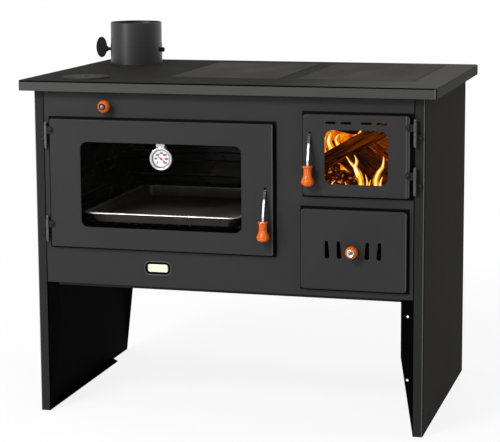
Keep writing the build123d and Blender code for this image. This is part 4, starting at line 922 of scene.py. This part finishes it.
# a sheet of flame fills the back of the firebox, in rows of (depth, height)
blaze_rows = ((0.2, 0.002), (0.212, 0.03), (0.2, 0.065), (0.214, 0.1), (0.222, 0.118))
blaze_columns = 24
blaze_thickness = 0.004
blaze_left, blaze_right = grate_low.x + 0.006, grate_high.x - 0.006
blaze_left_fade = (0.04, 0.1)
blaze = glowing("blaze", 1.0)
blaze_lick = blaze.noise(26.0, detail=4, stretch=(1.5, 1.5, 0.6), twist=0.8)
blaze_left_share = 1 - blaze.along(0).past(grate_low.x, blaze_left_fade)
blaze.set(Emission_Color=blaze.ramp(blaze_lick + 0.12 * blaze_left_share - 0.04,
                                    (0.3, (0.16, 0.01, 0.0002)), (0.45, (0.5, 0.055, 0.0005)),
                                    (0.58, (0.8, 0.14, 0.001)), (0.68, (1.0, 0.45, 0.004)),
                                    (0.78, (1.0, 0.85, 0.06))))
rings = []
for row, (depth, height) in enumerate(blaze_rows):
    line = []
    for column in range(blaze_columns + 1):
        share = column / blaze_columns
        ripple = 0.008 * math.sin(9 * share + row) + 0.004 * math.sin(23 * share + 2 * row)
        top_lick = 0.006 * math.sin(17 * share) if row == len(blaze_rows) - 1 else 0.0
        line.append(Vector((blaze_left + (blaze_right - blaze_left) * share,
                            fire_y + depth + ripple, grate_high.z + height + top_lick)))
    rings.append(line + [corner + Vector((0, blaze_thickness, 0)) for corner in reversed(line)])
link_piece("flame_sheet", loft(bmesh.new(), rings), blaze, "root", "cast_iron", sharp_degrees=80)


# ---- Oven door --------------------------------------------------------------------------------
# A pressed sheet cover with a large window. A clear heat-proof pane lies behind it under small
# plated clips, and a woven rope round the back seals it against the front sheet.
cover_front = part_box("oven_door")[0].y
cover_wall_fade = (0.0036, 0.0046)
edge_highlight_inset = 0.0022
edge_highlight_fade = (0.0004, 0.0013)
edge_highlight_back_fade = (0.002, 0.003)


def cover_wall_shade(coat):
    """Painted shade on the turned-back walls of a pressed cover, behind its rounded edges."""
    return coat.along(1).past(cover_front, cover_wall_fade)


cover_paint = spray_paint("cover_paint", (0.0285, 0.0285, 0.0293), 0.42, 0.0001, cover_wall_shade,
                          shine=0.07)
# a painted highlight along each cover's rounded right edge
edge_highlight = 0
for cover in cover_shade:
    edge_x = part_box(cover)[1].x - edge_highlight_inset
    edge_highlight = edge_highlight + cover_paint.along(0).near(edge_x, edge_highlight_fade)
edge_highlight = edge_highlight * (1 - cover_paint.along(1).past(cover_front, edge_highlight_back_fade))
cover_paint.set(Base_Color=cover_paint.mix(0.8 * edge_highlight, cover_paint.paint,
                                           (0.085, 0.085, 0.086)))
dress(cover_paint, "oven_door")
dress(zinc, "oven_glass_clips")
door_glass = Finish("door_glass", Base_Color=(0.012, 0.011, 0.01), Specular_IOR_Level=0.05)
smear = door_glass.noise(6.0, detail=5, twist=0.7)
door_glass.set(Alpha=0.03 + 0.02 * smear, Roughness=0.03 + 0.05 * smear)
dress(door_glass, "oven_glass")

seal_rope = Finish("seal_rope", Roughness=0.95)
weave = seal_rope.noise(420.0, detail=3)
strand = seal_rope.node("TexWave", {"bands_direction": "DIAGONAL"},
                        {"Vector": seal_rope.place, "Scale": 160.0, "Distortion": 1.5}, output=1)
seal_rope.set(Base_Color=seal_rope.mix(strand, (0.13, 0.125, 0.12), (0.42, 0.41, 0.39)))
seal_rope.bump(0.6 * strand + 0.4 * weave, 0.0008)

rope_corner = 0.008
rope_step = 0.004
rope_section_steps = 12
rope_strands = 3
strand_depth = 0.07
steps_to_a_turn = 9


def rope_ring(name, body):
    """A round rope laid as a frame where a CAD seal is, with strands winding round it."""
    middle, half = middle_and_half(name)
    radius = half.y
    outline = rounded_ring(middle, half.x - radius, half.z - radius, rope_corner + radius,
                           "front", steps=8)
    path = []
    for begin, finish in zip(outline, outline[1:] + outline[:1]):
        pieces = max(1, round((finish - begin).length / rope_step))
        path += [begin.lerp(finish, step / pieces) for step in range(pieces)]
    backward = Vector((0, 1, 0))
    rings = []
    for index, point in enumerate(path):
        line = (path[(index + 1) % len(path)] - path[index - 1]).normalized()
        side = backward.cross(line).normalized()
        ring = []
        for angle in circle_angles(rope_section_steps):
            wind = rope_strands * angle + index * 2 * math.pi / steps_to_a_turn
            reach = radius * (1 - strand_depth + strand_depth * math.cos(wind))
            ring.append(point + spoke(side, backward, angle) * reach)
        rings.append(ring)
    link_piece(name + "_woven", loft(bmesh.new(), rings, closed=True), seal_rope, body, "rope",
               name, sharp_degrees=60)


rope_ring("oven_rope_seal", "oven_door")


# ---- Oven thermometer -------------------------------------------------------------------------
# A bright steel cup on a bent strip holds a white dial with printed figures, a red pointer on
# a hub, and a clear lens.
dress(zinc, "thermometer_bracket")
polished = Finish("polished_steel", Metallic=1.0)
polish_lines = polished.noise(900.0, detail=2, stretch=(1, 1, 0.03))
polished.set(Base_Color=polished.mix(polish_lines, (0.62, 0.62, 0.63), (0.78, 0.78, 0.79)),
             Roughness=0.16 + 0.16 * polish_lines)
polished.bump(polish_lines, 0.00002)
dress(polished, "thermometer_case")
dial_white = Finish("dial_white", Roughness=0.5)
dial_middle, dial_half = middle_and_half("thermometer_dial")
dial_front = dial_middle.y - dial_half.y
dial_radius = 0.0185
# the dial's outer edge, under the bezel's wall, is painted grey: painted shade
dial_shade_fade = (dial_radius, 0.0189)
off_middle = dial_white.node("VectorMath", {"operation": "DISTANCE"}, {
    0: dial_white.place, 1: (dial_middle.x, dial_front, dial_middle.z)}, output=1)
dial_tone = dial_white.mix(dial_white.noise(90.0, detail=4), (0.8, 0.8, 0.79),
                           (0.88, 0.88, 0.87))
dial_white.set(Base_Color=dial_white.mix(off_middle.step(*dial_shade_fade), dial_tone,
                                         (0.12, 0.12, 0.122)))
dial_white.bump(dial_white.noise(1500.0), 0.00001)
dress(dial_white, "thermometer_dial")
pointer_red = Finish("pointer_red", Roughness=0.35)
pointer_red.set(Base_Color=pointer_red.mix(pointer_red.noise(500.0), (0.5, 0.015, 0.012),
                                           (0.7, 0.03, 0.02)))
pointer_red.bump(pointer_red.noise(1200.0), 0.00001)
dress(pointer_red, "thermometer_pointer")
lens_glass = Finish("lens_glass", Base_Color=(1.0, 1.0, 1.0), Roughness=0.03,
                    Specular_IOR_Level=0.3)
lens_glass.set(Alpha=0.03 + 0.02 * lens_glass.noise(60.0))
dress(lens_glass, "thermometer_lens")

case_middle = middle_and_half("thermometer_case")[0]
lens_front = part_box("thermometer_lens")[0].y
on_axis = 1e-7
# (radius, height in front of the lens) round the bezel's section
bezel_section = ((0.026, 0.00002), (0.026, 0.0011), (0.0255, 0.0018), (0.0245, 0.0023),
                 (0.0234, 0.0024), (0.0224, 0.0021), (0.0216, 0.0014), (0.021, 0.0007),
                 (0.0206, 0.00002))


def lathe(profile, centre, direction, closed=False, steps=40):
    """A turned piece: (radius, height) points from axis to axis, or round a closed section."""
    to_line = Vector((0, 0, 1)).rotation_difference(Vector(direction)).to_matrix()
    rings = []
    for radius, height in profile:
        corners = [(0.0, 0.0)] if radius < on_axis else [
            (radius * math.cos(a), radius * math.sin(a)) for a in circle_angles(steps)]
        rings.append([centre + to_line @ Vector((*corner, height)) for corner in corners])
    return loft(bmesh.new(), rings, closed)


bezel_place = Vector((case_middle.x, lens_front, case_middle.z))
bezel_shape = lathe(bezel_section, bezel_place, (0, -1, 0), closed=True, steps=64)
link_piece("thermometer_bezel", bezel_shape, polished, "oven_door", "chrome")

dial_ink = Finish("dial_ink", Roughness=0.6)
dial_ink.set(Base_Color=dial_ink.mix(dial_ink.noise(800.0), (0.006, 0.006, 0.008),
                                     (0.02, 0.02, 0.022)))
dial_ink.bump(dial_ink.noise(1200.0), 0.00001)
print_thickness = 0.0002
scale_start = math.radians(225)
scale_sweep = math.radians(270)
scale_marks = 31
marks_to_a_long_one = 5
# (inner end as a share of the dial's radius, thickness)
long_mark = (0.84, 0.001)
short_mark = (0.9, 0.0004)
mark_end = 0.97
figures = ("0", "50", "100", "150", "200", "250", "300")
figure_size = 0.0056
figure_boldness = 0.0004
figure_place = 0.66
ink_shape = bmesh.new()


def on_dial(angle, share, height):
    """A place on the dial: its angle, its share of the radius, and its height in front."""
    reach = dial_radius * share
    return Vector((case_middle.x + reach * math.cos(angle), dial_front - height,
                   case_middle.z + reach * math.sin(angle)))


for mark in range(scale_marks):
    inner_end, thick = short_mark if mark % marks_to_a_long_one else long_mark
    angle = scale_start - scale_sweep * mark / (scale_marks - 1)
    across = Vector((-math.sin(angle), 0, math.cos(angle))) * thick / 2
    corners = ((inner_end, -1), (mark_end, -1), (mark_end, 1), (inner_end, 1))
    loft(ink_shape, [[on_dial(angle, share, height) + across * side for share, side in corners]
                     for height in (0.0, print_thickness)])
for number, figure in enumerate(figures):
    angle = scale_start - scale_sweep * number / (len(figures) - 1)
    text_data = bpy.data.curves.new("figure", "FONT")
    text_data.body = figure
    text_data.size = figure_size
    text_data.offset = figure_boldness
    text_data.align_x = "CENTER"
    text_data.align_y = "CENTER"
    text_data.extrude = print_thickness / 2
    text = bpy.data.objects.new("figure", text_data)
    flat_figure = bpy.data.meshes.new_from_object(text)
    flat_figure.transform(Matrix.Translation(on_dial(angle, figure_place, print_thickness / 2))
                          @ Matrix.Rotation(math.pi / 2, 4, "X"))
    ink_shape.from_mesh(flat_figure)
    bpy.data.objects.remove(text)
link_piece("dial_print", ink_shape, dial_ink, "oven_door", "dial")


# ---- Hinges -----------------------------------------------------------------------------------
# Slim barrel hinges: two leaves riveted to each door and to the body's front strip, on pins with
# a small ball at both ends. They are sprayed black, and their barrels are a lighter grey.
hinge_axes = (-0.42, 0.4305)
barrel_fade = (0.0018, 0.0034)


def off_axis(finish, axes):
    """Distance sideways from the nearer of two upright axes."""
    off_left, off_right = (abs(finish.along(0) - axis) for axis in axes)
    return off_left.smaller(off_right)


hinge_paint = spray_paint("hinge_paint", (0.004, 0.004, 0.0041), 0.4, 0.00005, shine=0.2)
barrel = 1 - off_axis(hinge_paint, hinge_axes).step(*barrel_fade)
hinge_paint.set(Base_Color=hinge_paint.mix(barrel, hinge_paint.paint, (0.075, 0.075, 0.076)))
dress(hinge_paint, "oven_door_hinge_leaves", "oven_frame_hinge_leaves", "fire_door_hinge_leaves",
      "fire_frame_hinge_leaves", "hinge_pins")


# ---- Latch handles ----------------------------------------------------------------------------
# A bent bright lever hooks behind the front sheet and swings on a pin inside each door. A turned
# and lacquered wooden grip is driven on its lower end.
lever_side_fade = (0.0008, 0.0028)
neck_fade = (-0.027, -0.022)
neck_reach_fade = (0.03, 0.031)
lever_steel = Finish("lever_steel", Specular_IOR_Level=0.1)
lever_lines = lever_steel.noise(700.0, detail=2, stretch=(1, 1, 0.02))
lever_boxes = [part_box(f"{door}_latch_lever") for door in ("oven", "fire")]
lever_axes = [(low.x + high.x) / 2 for low, high in lever_boxes]
lever_z = lever_steel.along(2)
oven_neck, fire_neck = (lever_z.past(high.z, neck_fade) * lever_z.near(high.z, neck_reach_fade)
                        for low, high in lever_boxes)
# the bar's sides are painted dark, not metallic, as a painted reflection; its neck is painted dark
# too
painted_dark_sides = off_axis(lever_steel, lever_axes).step(*lever_side_fade)
painted_dark = painted_dark_sides.larger(0.95 * oven_neck.larger(fire_neck))
lever_bright = lever_steel.mix(lever_lines, (0.8, 0.8, 0.81), (0.9, 0.9, 0.91))
lever_steel.set(Base_Color=lever_steel.mix(painted_dark, lever_bright, (0.02, 0.02, 0.021)),
                Metallic=1 - painted_dark, Roughness=0.17 + 0.06 * lever_lines)
lever_steel.bump(lever_lines, 0.000004)
dress(lever_steel, "oven_latch_lever", "fire_latch_lever")
dress(zinc, "oven_latch_bracket", "fire_latch_bracket")


def smooth_line(points, steps=5):
    """Points of a smooth line through the given (radius, height) points."""
    path = smooth_path([Vector((*point, 0)) for point in points], steps)
    return [(max(point.x, 0.0), point.y) for point in path] + [points[-1]]


lacquered_wood = Finish("lacquered_wood", Coat_Weight=0.7, Coat_Roughness=0.04,
                        Specular_IOR_Level=0.02)
growth = lacquered_wood.node("TexWave", {"wave_type": "RINGS", "rings_direction": "Z"},
                             {"Vector": lacquered_wood.place, "Scale": 90.0, "Distortion": 6.0,
                              "Detail": 3.0, "Detail Scale": 2.0}, output=1)
pores = lacquered_wood.noise(500.0, detail=3, stretch=(1, 1, 0.08)).step(0.5, 0.72)
wood_tone = lacquered_wood.mix(growth, (0.56, 0.08, 0.0), (0.8, 0.15, 0.0005))
lacquered_wood.set(Base_Color=lacquered_wood.mix(0.45 * pores, wood_tone, (0.3, 0.03, 0.001)),
                   Roughness=0.3 + 0.12 * pores)
lacquered_wood.bump(pores, 0.000008)

# (radius, height) points from the grip's top to its end
grip_bead = [(0.0, 0.0), (0.0088, 0.0), (0.0103, -0.0005), (0.011, -0.0017), (0.011, -0.0037),
             (0.0104, -0.0049), (0.0093, -0.0055), (0.0088, -0.006)]
grip_body = smooth_line([(0.0093, -0.0067), (0.009, -0.011), (0.0089, -0.0165),
                         (0.0094, -0.0215), (0.011, -0.0265), (0.0131, -0.0305),
                         (0.01425, -0.0345), (0.0137, -0.0388), (0.0108, -0.0427),
                         (0.006, -0.0446), (0.0, -0.045)])
for door in ("oven", "fire"):
    grip_top, grip_half = middle_and_half(f"{door}_latch_grip")
    grip_top.z += grip_half.z
    link_piece(f"{door}_turned_grip", lathe(grip_bead + grip_body, grip_top, (0, 0, 1)),
               lacquered_wood, f"{door}_handle", "wood", f"{door}_latch_grip")


# ---- Fire door --------------------------------------------------------------------------------
# A smaller pressed cover over the firebox, with four air slots above its window. Its pane, clips
# and rope seal are made like the oven door's.
dress(cover_paint, "fire_door")
dress(door_glass, "fire_glass")
dress(zinc, "fire_glass_clips")
rope_ring("fire_rope_seal", "fire_door")


# ---- Ash drawer -------------------------------------------------------------------------------
# A pressed front with four drop-shaped air slots and a sheet pan welded behind it, sliding on two
# rails. A shutter behind the slots is moved sideways by the knob.
dress(cover_paint, "ash_drawer_front")
dress(raw_steel, "ash_drawer_pan", "ash_rails")
dress(zinc, "air_shutter")


# ---- Knobs ------------------------------------------------------------------------------------
# Turned wooden balls, lacquered like the grips. A screw in a cup washer holds each ball on its
# rod: its head is domed above, in a washer painted black as painted shade, and sunk in a bright
# one on the drawer.
knob_radius = 0.014
seat_depth = 0.010
knob_steps = 18
# (radius, height) points round the washer's section, and up the screws' heads
washer_section = ((0.0044, 0.00002), (0.008, 0.00002), (0.0081, 0.0006), (0.0077, 0.0013),
                  (0.007, 0.0016), (0.0064, 0.0014), (0.0056, 0.0007), (0.0044, 0.0004))
domed_head = smooth_line([(0.0, 0.0004), (0.0046, 0.0004), (0.0052, 0.0012), (0.0046, 0.0024),
                          (0.003, 0.0035), (0.0, 0.004)], 3)
sunk_head = ((0.0, 0.0004), (0.0042, 0.0004), (0.0042, 0.0013), (0.0038, 0.0018),
             (0.0026, 0.0021), (0.0, 0.0022))


def worn_steel(name, metallic, scale, dark, light, roughness):
    """A plain steel finish, unevenly worn."""
    steel = Finish(name, Metallic=metallic)
    wear = steel.noise(scale, detail=3)
    steel.set(Base_Color=steel.mix(wear, dark, light), Roughness=roughness + 0.2 * wear)
    steel.bump(wear, 0.00002)
    return steel


# the washer round the domed head is painted black: painted shade
shade_steel = worn_steel("shade_steel", 0.6, 300.0, (0.006, 0.006, 0.006), (0.02, 0.02, 0.02), 0.35)
screw_steel = worn_steel("screw_steel", 1.0, 500.0, (0.1, 0.098, 0.094), (0.22, 0.215, 0.205), 0.3)
for knob_name, knob_body, head, washer_finish in (
        ("bypass_knob", "bypass", domed_head, shade_steel),
        ("ash_knob", "air_shutter", sunk_head, polished)):
    knob_low, knob_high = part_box(knob_name)
    knob_centre = (knob_low + knob_high) / 2
    knob_centre.y = knob_high.y - seat_depth
    nose = knob_centre.y - knob_low.y
    start = -math.asin(seat_depth / knob_radius)
    end = math.asin(nose / knob_radius)
    ball = [(knob_radius * math.cos(a), knob_radius * math.sin(a))
            for a in (start + (end - start) * k / knob_steps for k in range(knob_steps + 1))]
    ball = [(0.0, -seat_depth)] + ball + [(0.0, nose)]
    link_piece(knob_name + "_turned", lathe(ball, knob_centre, (0, -1, 0)), lacquered_wood,
               knob_body, "wood", knob_name)
    cap_place = Vector((knob_centre.x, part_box(knob_name + "_cap")[1].y, knob_centre.z))
    link_piece(knob_name + "_washer", lathe(washer_section, cap_place, (0, -1, 0), closed=True),
               washer_finish, knob_body, "chrome", knob_name + "_cap")
    link_piece(knob_name + "_screw", lathe(head, cap_place, (0, -1, 0)), screw_steel, knob_body,
               "chrome")
